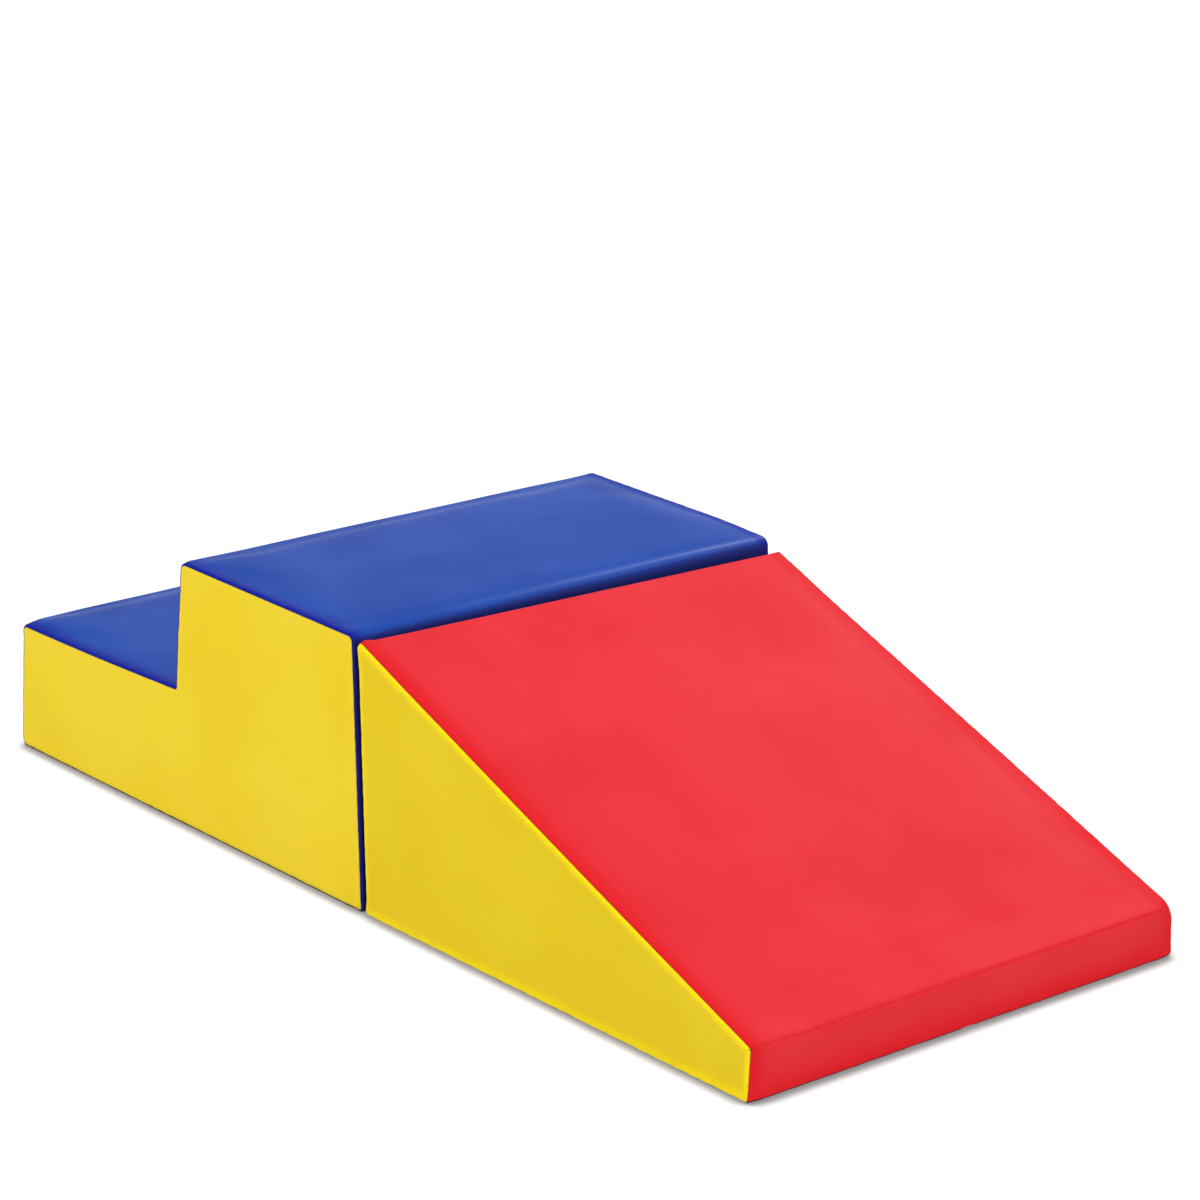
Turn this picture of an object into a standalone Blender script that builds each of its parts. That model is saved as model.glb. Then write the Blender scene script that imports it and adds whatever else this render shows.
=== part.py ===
"""Soft play foam climber: a block with two steps and a ramp block, pressed together end to end.

Each block is foam in a sewn cover: a coloured band runs up over the block from one bottom edge to the
other, a flat panel closes each side, and two halves of a grippy cloth underneath are joined by a zip. Hook
and loop strips hold the two blocks together.

Lengths are metres. +X runs from the front of the steps to the toe of the ramp, +Y across the width, +Z up.
The origin is on the floor, under the middle of the object. Each block is modelled from its own end: the step
block from its front, the ramp block from its back, and an empty there places it.
"""

import math

import bmesh
import bpy
from mathutils import Matrix, Vector

# The two blocks
BLOCK_WIDTH = 0.586
STEP_LENGTH = 0.670
STEP_HEIGHT = 0.306
TREAD_HEIGHT = 0.156
TREAD_LENGTH = 0.317
FRONT_LEAN = 0.010
RISER_LEAN = 0.014
JOIN_LEAN = 0.008
RAMP_LENGTH = 0.616
RAMP_HEIGHT = 0.299
TOE_HEIGHT = 0.058

# Rounded edges
SEAM_RADIUS = 0.010
CORNER_RADIUS = 0.008
INNER_CORNER_RADIUS = 0.005
TOE_CREASE_RADIUS = 0.020
SMALLEST_RADIUS = 0.001

# How far the middle of each face swells
TREAD_CROWN = 0.005
RISER_CROWN = 0.002
FRONT_CROWN = 0.003
SLOPE_CROWN = 0.006
TOE_CROWN = 0.002
SIDE_CROWN = 0.004

# Materials and fits
COVER_THICKNESS = 0.0012
CLEARANCE = 0.0003
STRIP_THICKNESS = 0.0024
STRIP_WIDTH = 0.050
STRIP_LENGTH = 0.220
STRIP_SPACING = 0.320
STRIP_HEIGHT_FROM_FLOOR = 0.045

# Zip under each block, in a channel between the two bottom panels
CHANNEL_WIDTH = 0.014
HEM_RADIUS = 0.003
TAPE_HEIGHT_FROM_FLOOR = 0.0065
TAPE_THICKNESS = 0.0006
TAPE_WIDTH = 0.014
FOAM_CHANNEL_DEPTH = 0.0090
COIL_WIDTH = 0.0018
COIL_THICKNESS = 0.0016
STOP_LENGTH = 0.003
STOP_WIDTH = 0.0056
ZIP_END_MARGIN = 0.032

SLIDER_LENGTH = 0.012
SLIDER_WIDTH = 0.0084
SLIDER_PLATE = 0.0008
SLIDER_WEB = 0.0006
EAR_THICKNESS = 0.0010
EAR_LENGTH = 0.0030
EAR_WALL = 0.0006
PULL_LENGTH = 0.026
PULL_WIDTH = 0.0070
PULL_NECK_LENGTH = 0.009
PULL_NECK_WIDTH = 0.0024
PULL_THICKNESS = 0.0012
PULL_HEIGHT_FROM_FLOOR = 0.0022
PIN_RADIUS = 0.00055
PIN_PLAY = 0.00015

# How finely curves are divided, and where the stations of a flat stretch lie
CORNER_STEPS = 4
FOAM_CORNER_STEPS = 2
SHOULDER_STEPS = 2
ROUND_STEPS = 12
ALONG_SHARES = (0.15, 0.5, 0.85)
ACROSS_SHARES = (-0.85, -0.5, 0.0, 0.5, 0.85)
SIDE_REACH_SHARES = (0.4, 1.0)
SIDE_REACH_OF_HEIGHT_SHARE = 0.25
CUT_OVERRUN = 0.005

# Worked out from the sizes above
HALF_WIDTH = BLOCK_WIDTH / 2
LEAN_SLOPE = JOIN_LEAN / STEP_HEIGHT
LEAN_ANGLE = math.atan(LEAN_SLOPE)
BLOCK_GAP = (2 * STRIP_THICKNESS + 3 * CLEARANCE) / math.cos(LEAN_ANGLE)
STEP_BLOCK_X = -(STEP_LENGTH + BLOCK_GAP + RAMP_LENGTH) / 2
RAMP_BLOCK_X = STEP_BLOCK_X + STEP_LENGTH + BLOCK_GAP
RISER_FOOT = FRONT_LEAN + TREAD_LENGTH
RISER_SLOPE = RISER_LEAN / (STEP_HEIGHT - TREAD_HEIGHT)
STEP_SIDE_REACH = TREAD_HEIGHT * SIDE_REACH_OF_HEIGHT_SHARE
RAMP_SIDE_REACH = TOE_HEIGHT * SIDE_REACH_OF_HEIGHT_SHARE
FOAM_INSET = COVER_THICKNESS + CLEARANCE
SEAM_ANGLE = math.pi / 4
SEAM_HALF_GAP_ANGLE = CLEARANCE / (2 * (SEAM_RADIUS - COVER_THICKNESS))

COIL_TOP = TAPE_HEIGHT_FROM_FLOOR - CLEARANCE
COIL_BOTTOM = COIL_TOP - COIL_THICKNESS
TAPE_TOP = TAPE_HEIGHT_FROM_FLOOR + TAPE_THICKNESS
COIL_HALF_GAP = SLIDER_WEB / 2 + CLEARANCE
LOWER_PLATE_TOP = COIL_BOTTOM - CLEARANCE
LOWER_PLATE_BOTTOM = LOWER_PLATE_TOP - SLIDER_PLATE
UPPER_PLATE_BOTTOM = TAPE_TOP + CLEARANCE
UPPER_PLATE_TOP = UPPER_PLATE_BOTTOM + SLIDER_PLATE
EAR_INNER = PULL_NECK_WIDTH / 2 + CLEARANCE
EAR_OUTER = EAR_INNER + EAR_THICKNESS
EAR_HOLE_RADIUS = PIN_RADIUS + PIN_PLAY

BLUE = (0.035, 0.085, 0.45)
RED = (0.83, 0.035, 0.055)
YELLOW = (0.85, 0.66, 0.035)
DARK_CLOTH = (0.02, 0.02, 0.022)
FOAM_WHITE = (0.80, 0.80, 0.76)
ZIP_BLACK = (0.012, 0.012, 0.014)
NICKEL = (0.55, 0.54, 0.52)


def make_material(name, colour, roughness, metallic=0.0):
    material = bpy.data.materials.new(name)
    material.use_nodes = True
    shader = material.node_tree.nodes["Principled BSDF"]
    shader.inputs["Base Color"].default_value = (*colour, 1.0)
    shader.inputs["Roughness"].default_value = roughness
    shader.inputs["Metallic"].default_value = metallic
    return material


def add_object(name, mesh, material):
    """Put a finished bmesh in the scene as a named object with outward normals."""
    bmesh.ops.recalc_face_normals(mesh, faces=mesh.faces)
    data = bpy.data.meshes.new(name)
    mesh.to_mesh(data)
    mesh.free()
    data.shade_smooth()
    data.set_sharp_from_angle(angle=math.radians(30))
    data.materials.append(material)
    thing = bpy.data.objects.new(name, data)
    bpy.context.scene.collection.objects.link(thing)
    return thing


def lofted(name, rings, material):
    """One closed body: a skin over equal rings of points, with a cap at each end."""
    return swollen(name, [[(point, 0.0) for point in ring] for ring in rings], material)


def swollen(name, rings, material):
    """A lofted body whose rings hold (point, how far it swells).

    A quad on a swollen face is bent, so it is split along its higher diagonal. A cover and the foam under it
    are then split alike and keep their gap.
    """
    mesh = bmesh.new()
    loops = [[(mesh.verts.new(point), height) for point, height in ring] for ring in rings]
    for first, second in zip(loops, loops[1:]):
        for here in range(len(first)):
            there = (here + 1) % len(first)
            quad = (first[here], first[there], second[there], second[here])
            a, b, c, d = [vertex for vertex, height in quad]
            twist = quad[0][1] + quad[2][1] - quad[1][1] - quad[3][1]
            if twist == 0:
                mesh.faces.new((a, b, c, d))
            elif twist > 0:
                mesh.faces.new((a, b, c))
                mesh.faces.new((a, c, d))
            else:
                mesh.faces.new((a, b, d))
                mesh.faces.new((b, c, d))
    for loop in (loops[0], loops[-1]):
        mesh.faces.new([vertex for vertex, height in loop])
    return add_object(name, mesh, material)


def box_object(name, low, high, material):
    """An upright box between two corners."""
    corners = [(low[0], low[1]), (high[0], low[1]), (high[0], high[1]), (low[0], high[1])]
    rings = [[Vector((x, y, z)) for x, y in corners] for z in (low[2], high[2])]
    return lofted(name, rings, material)


def as_helper(thing, parent=None):
    """Keep an object out of the model, as a cutter or an added shape that moves with its parent."""
    thing.hide_render = True
    thing.display_type = "WIRE"
    thing.parent = parent
    return thing


def apply_boolean(thing, helper, operation):
    modifier = thing.modifiers.new(helper.name, "BOOLEAN")
    modifier.operation = operation
    modifier.solver = "EXACT"
    modifier.object = helper


def inward(direction):
    """The inward normal of a side, for an outline that runs anticlockwise with +X right and +Z up."""
    return Vector((-direction.y, direction.x))


def turned(vector, angle):
    return Matrix.Rotation(angle, 2) @ vector


def outline(corners, crowns, inset, corner_steps):
    """Stations round a closed outline that is drawn in by inset: (point, outward normal, swell).

    corners holds (x, z, radius), anticlockwise. crowns holds how far the middle of each side swells, where
    side i runs from corner i to the next. A corner with no radius is one station.
    """
    points = [Vector((x, z)) for x, z, radius in corners]
    count = len(points)
    along = [(points[(i + 1) % count] - points[i]).normalized() for i in range(count)]
    arcs = []
    for i in range(count):
        before, after = along[i - 1], along[i]
        square = inward(before) + inward(after)
        corner = points[i] + square * inset / (1 + before.dot(after))
        turn = math.atan2(before.x * after.y - before.y * after.x, before.dot(after))
        radius = corners[i][2]
        if radius == 0:
            arcs.append([(corner, -square.normalized(), 0.0)])
            continue
        bulge = math.copysign(1.0, turn)
        drawn_radius = max(radius - bulge * inset, SMALLEST_RADIUS)
        start = corner - before * drawn_radius * math.tan(abs(turn) / 2)
        centre = start + inward(before) * bulge * drawn_radius
        arc = []
        for step in range(corner_steps + 1):
            normal = turned(-inward(before), turn * step / corner_steps)
            arc.append((centre + normal * bulge * drawn_radius, normal, 0.0))
        arcs.append(arc)
    stations = []
    for i in range(count):
        stations += arcs[i]
        start, end = arcs[i][-1][0], arcs[(i + 1) % count][0][0]
        for share in ALONG_SHARES:
            swell = crowns[i] * (1 - abs(2 * share - 1) ** 3)
            stations.append((start.lerp(end, share), -inward(along[i]), swell))
    return stations


def path_between(stations, first, last):
    """The open run of stations from one index round to another, with half a clearance left at each end."""
    count = len(stations)
    run = [stations[(first + i) % count] for i in range((last - first) % count + 1)]
    for end, neighbour in ((0, 1), (-1, -2)):
        point, normal, swell = run[end]
        step = (run[neighbour][0] - point).normalized() * CLEARANCE / 2
        run[end] = (point + step, normal, swell)
    return run


def shoulder(angle, thickness):
    """A point on the rounded long edge, as (distance across the block, depth under the face)."""
    radius = SEAM_RADIUS - thickness
    across = HALF_WIDTH - SEAM_RADIUS + radius * math.sin(angle)
    return across, SEAM_RADIUS - radius * math.cos(angle)


def crown_weight(share):
    """How much of a crown is left this far from the middle of the width."""
    return 1 - abs(share) ** 3


def band_section(thickness):
    """Across a band from one seam to the other, as (y, depth, crown weight)."""
    flat_half = HALF_WIDTH - SEAM_RADIUS
    section = []
    for step in range(SHOULDER_STEPS + 1):
        angle = (SEAM_ANGLE - SEAM_HALF_GAP_ANGLE) * (1 - step / SHOULDER_STEPS)
        across, depth = shoulder(angle, thickness)
        section.append((-across, depth, 0.0))
    for share in ACROSS_SHARES:
        section.append((share * flat_half, thickness, crown_weight(share)))
    mirrored = [(-y, depth, weight) for y, depth, weight in section[: SHOULDER_STEPS + 1]]
    return section + mirrored[::-1]


def bottom_section(thickness, side):
    """Across a bottom panel from its side seam to the hem that turns up into the zip channel."""
    section = []
    for step in range(SHOULDER_STEPS + 1):
        angle = (SEAM_ANGLE - SEAM_HALF_GAP_ANGLE) * (1 - step / SHOULDER_STEPS)
        across, depth = shoulder(angle, thickness)
        section.append((side * across, depth, 0.0))
    hem_centre = CHANNEL_WIDTH / 2 + HEM_RADIUS
    radius = HEM_RADIUS - thickness
    for step in range(SHOULDER_STEPS + 1):
        angle = math.pi / 2 * step / SHOULDER_STEPS
        y = hem_centre - radius * math.sin(angle)
        section.append((side * y, HEM_RADIUS - radius * math.cos(angle), 0.0))
    hem_top = TAPE_HEIGHT_FROM_FLOOR - CLEARANCE
    section.append((side * (CHANNEL_WIDTH / 2 + thickness), hem_top, 0.0))
    return section


def strip_along(name, path, outer, inner, material):
    """A closed strip of cover that follows a path of stations, with the given sections across it."""
    section = outer + inner[::-1]
    rings = []
    for point, normal, swell in path:
        ring = []
        for y, depth, weight in section:
            place = point + normal * (swell * weight - depth)
            ring.append((Vector((place.x, y, place.y)), swell * weight))
        rings.append(ring)
    return swollen(name, rings, material)


def side_section(thickness, start_angle, reach):
    """From the seam to the flat middle of a side, as (inset from the outline, distance across).

    The swell grows over the reach, which stays short where the block is thin.
    """
    section = []
    for step in range(SHOULDER_STEPS + 1):
        angle = start_angle + (math.pi / 2 - start_angle) * step / SHOULDER_STEPS
        across, depth = shoulder(angle, thickness)
        section.append((depth, across))
    for share in SIDE_REACH_SHARES:
        inset = SEAM_RADIUS + share * reach
        section.append((inset, HALF_WIDTH - thickness + SIDE_CROWN * (1 - (1 - share) ** 2)))
    return section


def ring_at(corners, crowns, inset, y, weight, corner_steps):
    """A closed ring of the block's outline in the plane across the width at y."""
    ring = []
    for point, normal, swell in outline(corners, crowns, inset, corner_steps):
        place = point + normal * swell * weight
        ring.append((Vector((place.x, y, place.y)), swell * weight))
    return ring


def side_panel(name, corners, side, reach, material):
    """The flat panel that closes one side, swelling a little in the middle."""
    still = [0.0] * len(corners)
    start_angle = SEAM_ANGLE + SEAM_HALF_GAP_ANGLE
    inner = side_section(COVER_THICKNESS, start_angle, reach)[::-1]
    outer = side_section(0.0, start_angle, reach)
    rings = [ring_at(corners, still, inset, side * y, 0.0, CORNER_STEPS) for inset, y in inner + outer]
    return swollen(name, rings, material)


def foam_slab(name, corners, crowns, reach, material):
    """A foam piece that fills the cover from one side panel to the other."""
    half = []
    for inset, y in side_section(FOAM_INSET, 0.0, reach)[::-1]:
        half.append((inset, -y, 0.0))
    flat_half = HALF_WIDTH - SEAM_RADIUS
    middle = [(FOAM_INSET, share * flat_half, crown_weight(share)) for share in ACROSS_SHARES]
    other_half = [(inset, -y, weight) for inset, y, weight in half[::-1]]
    rings = []
    for inset, y, weight in half + middle + other_half:
        rings.append(ring_at(corners, crowns, inset, y, weight, FOAM_CORNER_STEPS))
    return swollen(name, rings, material)


def cut_channel(foam, length):
    """Open a channel along the underside of the foam for the zip."""
    half = COIL_HALF_GAP + TAPE_WIDTH + CLEARANCE
    low = (-CUT_OVERRUN, -half, -CUT_OVERRUN)
    high = (length + CUT_OVERRUN, half, FOAM_CHANNEL_DEPTH)
    apply_boolean(foam, as_helper(box_object(foam.name + "_channel", low, high, None)), "DIFFERENCE")


def slider_object(name, material):
    """The zip's slider: two plates joined by a web, with two ears below that carry the pull's pin."""
    half = SLIDER_WIDTH / 2
    web = SLIDER_WEB / 2
    section = [
        (-half, LOWER_PLATE_BOTTOM),
        (half, LOWER_PLATE_BOTTOM),
        (half, LOWER_PLATE_TOP),
        (web, LOWER_PLATE_TOP),
        (web, UPPER_PLATE_BOTTOM),
        (half, UPPER_PLATE_BOTTOM),
        (half, UPPER_PLATE_TOP),
        (-half, UPPER_PLATE_TOP),
        (-half, UPPER_PLATE_BOTTOM),
        (-web, UPPER_PLATE_BOTTOM),
        (-web, LOWER_PLATE_TOP),
        (-half, LOWER_PLATE_TOP),
    ]
    ends = (-SLIDER_LENGTH / 2, SLIDER_LENGTH / 2)
    slider = lofted(name, [[Vector((x, y, z)) for y, z in section] for x in ends], material)
    ear_bottom = PULL_HEIGHT_FROM_FLOOR - EAR_HOLE_RADIUS - EAR_WALL
    for label, inner, outer in (("left", EAR_INNER, EAR_OUTER), ("right", -EAR_OUTER, -EAR_INNER)):
        low = (-EAR_LENGTH / 2, inner, ear_bottom)
        high = (EAR_LENGTH / 2, outer, LOWER_PLATE_BOTTOM + SLIDER_PLATE / 2)
        ear = box_object(f"{name}_ear_{label}", low, high, None)
        apply_boolean(slider, as_helper(ear, slider), "UNION")
    hole = cylinder_across(f"{name}_hole", EAR_HOLE_RADIUS, EAR_OUTER + CUT_OVERRUN)
    hole.location = (0, 0, PULL_HEIGHT_FROM_FLOOR)
    apply_boolean(slider, as_helper(hole, slider), "DIFFERENCE")
    return slider


def cylinder_across(name, radius, reach):
    """A cylinder along Y that reaches as far to each side."""
    rings = []
    for y in (-reach, reach):
        angles = [math.tau * step / ROUND_STEPS for step in range(ROUND_STEPS)]
        rings.append([Vector((radius * math.cos(angle), y, radius * math.sin(angle))) for angle in angles])
    return lofted(name, rings, None)


def pull_object(name, slider, direction, material):
    """The zip's pull: a flat tab on a narrow neck, with a pin across the neck's end."""
    neck = PULL_NECK_WIDTH / 2
    half = PULL_WIDTH / 2
    shape = [(-PULL_THICKNESS / 2, -neck), (PULL_NECK_LENGTH, -neck), (PULL_NECK_LENGTH, -half)]
    for step in range(ROUND_STEPS + 1):
        angle = -math.pi / 2 + math.pi * step / ROUND_STEPS
        shape.append((PULL_LENGTH - half + half * math.cos(angle), half * math.sin(angle)))
    shape += [(PULL_NECK_LENGTH, half), (PULL_NECK_LENGTH, neck), (-PULL_THICKNESS / 2, neck)]
    rings = []
    for z in (-PULL_THICKNESS / 2, PULL_THICKNESS / 2):
        rings.append([Vector((direction * x, y, z)) for x, y in shape])
    pull = lofted(name, rings, material)
    pull.parent = slider
    pull.location = (0, 0, PULL_HEIGHT_FROM_FLOOR)
    pin = cylinder_across(f"{name}_pin", PIN_RADIUS, EAR_OUTER)
    apply_boolean(pull, as_helper(pin, pull), "UNION")


def add_zip(block, length, direction, materials):
    """A zip along the underside, closed, with a slider that opens it along the direction."""
    tape_start = CORNER_RADIUS + CLEARANCE
    tape_end = length - CORNER_RADIUS - CLEARANCE
    coil_start = ZIP_END_MARGIN
    coil_end = length - ZIP_END_MARGIN
    for label, side in (("left", 1), ("right", -1)):
        inner = side * COIL_HALF_GAP
        tape = sorted((inner, side * (COIL_HALF_GAP + TAPE_WIDTH)))
        coil = sorted((inner, side * (COIL_HALF_GAP + COIL_WIDTH)))
        box_object(
            f"{block}_zip_tape_{label}",
            (tape_start, tape[0], TAPE_HEIGHT_FROM_FLOOR),
            (tape_end, tape[1], TAPE_TOP),
            materials["zip_tape"],
        )
        box_object(
            f"{block}_zip_coil_{label}",
            (coil_start, coil[0], COIL_BOTTOM),
            (coil_end, coil[1], COIL_TOP),
            materials["zip_coil"],
        )
    closed_end, open_end = (coil_start, coil_end) if direction > 0 else (coil_end, coil_start)
    for label, coil_tip, away in (("top", closed_end, -direction), ("bottom", open_end, direction)):
        near, far = sorted((coil_tip + away * CLEARANCE, coil_tip + away * (CLEARANCE + STOP_LENGTH)))
        low = (near, -STOP_WIDTH / 2, COIL_BOTTOM)
        high = (far, STOP_WIDTH / 2, COIL_TOP)
        box_object(f"{block}_zip_{label}_stop", low, high, materials["zip_metal"])
    slider = slider_object(f"{block}_zip_slider", materials["zip_metal"])
    slider.location = (closed_end + direction * SLIDER_LENGTH / 2, 0, 0)
    pull_object(f"{block}_zip_pull", slider, direction, materials["zip_metal"])


def add_strips(block, kind, face_x, facing, material):
    """Two upright strips on the leaning face where the blocks meet; facing is +1 for a face towards +X."""
    middle_z = STRIP_HEIGHT_FROM_FLOOR + STRIP_LENGTH / 2
    offset = (CLEARANCE + STRIP_THICKNESS / 2) / math.cos(LEAN_ANGLE)
    middle_x = face_x - LEAN_SLOPE * middle_z + facing * offset
    for label, side in (("left", 1), ("right", -1)):
        low = (-STRIP_THICKNESS / 2, -STRIP_WIDTH / 2, -STRIP_LENGTH / 2)
        high = (STRIP_THICKNESS / 2, STRIP_WIDTH / 2, STRIP_LENGTH / 2)
        strip = box_object(f"{block}_{kind}_strip_{label}", low, high, material)
        strip.location = (middle_x, side * STRIP_SPACING / 2, middle_z)
        strip.rotation_euler = (0, -LEAN_ANGLE, 0)


def add_cover(block, corners, crowns, reach, band_material, materials):
    """The band, the two side panels and the two bottom panels of one block.

    The outline starts with the two corners on the floor, so the band runs from the middle of the second one
    round to the middle of the first, and the bottom panels take the rest.
    """
    stations = outline(corners, crowns, 0.0, CORNER_STEPS)
    first_middle = CORNER_STEPS // 2
    second_middle = first_middle + CORNER_STEPS + 1 + len(ALONG_SHARES)
    over = path_between(stations, second_middle, first_middle)
    under = path_between(stations, first_middle, second_middle)
    outer, inner = band_section(0.0), band_section(COVER_THICKNESS)
    strip_along(f"{block}_cover_band", over, outer, inner, band_material)
    for label, side in (("left", 1), ("right", -1)):
        side_panel(f"{block}_side_panel_{label}", corners, side, reach, materials["side"])
        outer, inner = bottom_section(0.0, side), bottom_section(COVER_THICKNESS, side)
        strip_along(f"{block}_bottom_panel_{label}", under, outer, inner, materials["bottom"])


def add_step_block(materials):
    riser_top = RISER_FOOT + RISER_LEAN
    corners = [
        (0.0, 0.0, CORNER_RADIUS),
        (STEP_LENGTH, 0.0, CORNER_RADIUS),
        (STEP_LENGTH - JOIN_LEAN, STEP_HEIGHT, CORNER_RADIUS),
        (riser_top, STEP_HEIGHT, CORNER_RADIUS),
        (RISER_FOOT, TREAD_HEIGHT, INNER_CORNER_RADIUS),
        (FRONT_LEAN, TREAD_HEIGHT, CORNER_RADIUS),
    ]
    crowns = [0.0, 0.0, TREAD_CROWN, RISER_CROWN, TREAD_CROWN, FRONT_CROWN]
    add_cover("step", corners, crowns, STEP_SIDE_REACH, materials["step_band"], materials)

    # The foam's two slabs are glued flat on each other, level with the lower tread. Their swell ends where
    # the cover's rounded inner corner starts.
    base_corners = [
        (0.0, 0.0, CORNER_RADIUS),
        (STEP_LENGTH, 0.0, CORNER_RADIUS),
        (STEP_LENGTH - LEAN_SLOPE * TREAD_HEIGHT, TREAD_HEIGHT, 0.0),
        (RISER_FOOT - INNER_CORNER_RADIUS, TREAD_HEIGHT, 0.0),
        (FRONT_LEAN, TREAD_HEIGHT, CORNER_RADIUS),
    ]
    base_crowns = [0.0, 0.0, 0.0, TREAD_CROWN, FRONT_CROWN]
    base = foam_slab("step_foam_base", base_corners, base_crowns, STEP_SIDE_REACH, materials["foam"])
    cut_channel(base, STEP_LENGTH)
    upper_floor = TREAD_HEIGHT - 2 * FOAM_INSET + CLEARANCE
    below_tread = TREAD_HEIGHT - upper_floor
    upper_corners = [
        (RISER_FOOT - RISER_SLOPE * below_tread, upper_floor, 0.0),
        (STEP_LENGTH - LEAN_SLOPE * upper_floor, upper_floor, 0.0),
        (STEP_LENGTH - JOIN_LEAN, STEP_HEIGHT, CORNER_RADIUS),
        (riser_top, STEP_HEIGHT, CORNER_RADIUS),
        (RISER_FOOT + RISER_SLOPE * INNER_CORNER_RADIUS, TREAD_HEIGHT + INNER_CORNER_RADIUS, 0.0),
    ]
    upper_crowns = [0.0, 0.0, TREAD_CROWN, RISER_CROWN, 0.0]
    foam_slab("step_foam_riser", upper_corners, upper_crowns, STEP_SIDE_REACH, materials["foam"])

    add_zip("step", STEP_LENGTH, 1, materials)
    add_strips("step", "hook", STEP_LENGTH, 1, materials["strip"])


def add_ramp_block(materials):
    corners = [
        (0.0, 0.0, CORNER_RADIUS),
        (RAMP_LENGTH, 0.0, CORNER_RADIUS),
        (RAMP_LENGTH, TOE_HEIGHT, TOE_CREASE_RADIUS),
        (-LEAN_SLOPE * RAMP_HEIGHT, RAMP_HEIGHT, CORNER_RADIUS),
    ]
    crowns = [0.0, TOE_CROWN, SLOPE_CROWN, 0.0]
    add_cover("ramp", corners, crowns, RAMP_SIDE_REACH, materials["ramp_band"], materials)
    wedge = foam_slab("ramp_foam_wedge", corners, crowns, RAMP_SIDE_REACH, materials["foam"])
    cut_channel(wedge, RAMP_LENGTH)
    add_zip("ramp", RAMP_LENGTH, -1, materials)
    add_strips("ramp", "loop", 0.0, -1, materials["strip"])


def place_block(name, add_block, x, materials):
    """Model a block and hang its pieces on an empty at the block's own end."""
    before = set(bpy.data.objects)
    add_block(materials)
    block = bpy.data.objects.new(name, None)
    block.location = (x, 0, 0)
    bpy.context.scene.collection.objects.link(block)
    for thing in set(bpy.data.objects) - before - {block}:
        if thing.parent is None:
            thing.parent = block


def main():
    for thing in list(bpy.data.objects):
        bpy.data.objects.remove(thing, do_unlink=True)
    materials = {
        "step_band": make_material("blue_vinyl", BLUE, 0.42),
        "ramp_band": make_material("red_vinyl", RED, 0.42),
        "side": make_material("yellow_vinyl", YELLOW, 0.45),
        "bottom": make_material("grippy_cloth", DARK_CLOTH, 0.85),
        "foam": make_material("foam", FOAM_WHITE, 0.95),
        "strip": make_material("hook_and_loop", DARK_CLOTH, 0.95),
        "zip_tape": make_material("zip_tape", ZIP_BLACK, 0.85),
        "zip_coil": make_material("zip_coil", ZIP_BLACK, 0.45),
        "zip_metal": make_material("zip_metal", NICKEL, 0.35, 1.0),
    }
    place_block("step_block", add_step_block, STEP_BLOCK_X, materials)
    place_block("ramp_block", add_ramp_block, RAMP_BLOCK_X, materials)


main()
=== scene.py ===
import math

import bmesh
import bpy
import numpy as np
from mathutils import Matrix, Vector, noise
from mathutils.bvhtree import BVHTree
from mathutils.geometry import delaunay_2d_cdt
from mathutils.interpolate import poly_3d_calc


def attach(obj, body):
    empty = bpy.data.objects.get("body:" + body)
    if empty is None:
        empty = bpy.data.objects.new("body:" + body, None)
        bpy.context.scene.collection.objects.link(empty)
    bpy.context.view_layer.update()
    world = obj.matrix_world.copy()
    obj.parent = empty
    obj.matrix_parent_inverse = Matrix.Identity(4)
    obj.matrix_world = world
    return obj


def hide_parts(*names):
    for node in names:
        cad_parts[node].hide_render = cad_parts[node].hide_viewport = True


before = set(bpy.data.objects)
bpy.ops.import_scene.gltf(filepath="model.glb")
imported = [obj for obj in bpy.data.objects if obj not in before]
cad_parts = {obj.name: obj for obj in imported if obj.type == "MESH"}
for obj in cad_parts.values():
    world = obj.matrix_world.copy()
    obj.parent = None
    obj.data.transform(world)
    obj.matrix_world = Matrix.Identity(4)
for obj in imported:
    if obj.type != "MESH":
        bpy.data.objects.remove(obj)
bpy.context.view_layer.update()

# The foam of the two blocks. It is firm foam cut to an outline across the whole width. The step block is two
# slabs glued flat on each other, level with the lower tread, and the ramp block is one wedge.
BLOCK_WIDTH = 0.586
STEP_FRONT_X = -0.64585
STEP_LENGTH = 0.670
STEP_HEIGHT = 0.306
TREAD_HEIGHT = 0.156
TREAD_LENGTH = 0.317
FRONT_LEAN = 0.010
RISER_LEAN = 0.014
JOIN_LEAN = 0.008
RAMP_BACK_X = 0.02985
RAMP_LENGTH = 0.616
RAMP_HEIGHT = 0.299
TOE_HEIGHT = 0.058

SEAM_RADIUS = 0.010
CORNER_RADIUS = 0.008
INNER_CORNER_RADIUS = 0.005
TOE_CREASE_RADIUS = 0.020
SMALLEST_RADIUS = 0.001
ARC_STEPS = 6

COVER_THICKNESS = 0.0012
CLEARANCE = 0.0003
FOAM_SPACING = 0.012
ZIP_CHANNEL_HALF_WIDTH = 0.0149
ZIP_CHANNEL_DEPTH = 0.009

HALF_WIDTH = BLOCK_WIDTH / 2
RISER_FOOT = FRONT_LEAN + TREAD_LENGTH
RISER_SLOPE = RISER_LEAN / (STEP_HEIGHT - TREAD_HEIGHT)
LEAN_SLOPE = JOIN_LEAN / STEP_HEIGHT
STEP_JOIN_X = STEP_FRONT_X + STEP_LENGTH

# Places in the two lists of corners below.
BACK_TOP_CORNER = 2
RISER_FOOT_CORNER = 4
TOE_BEND_CORNER = 2
THIN_EDGE_CORNER = 3


def placed(x_of_block, corners):
    """Corners (x, z, radius) of an outline, moved from the block's own end to its place."""
    return [(x_of_block + x, z, radius) for x, z, radius in corners]


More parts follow.
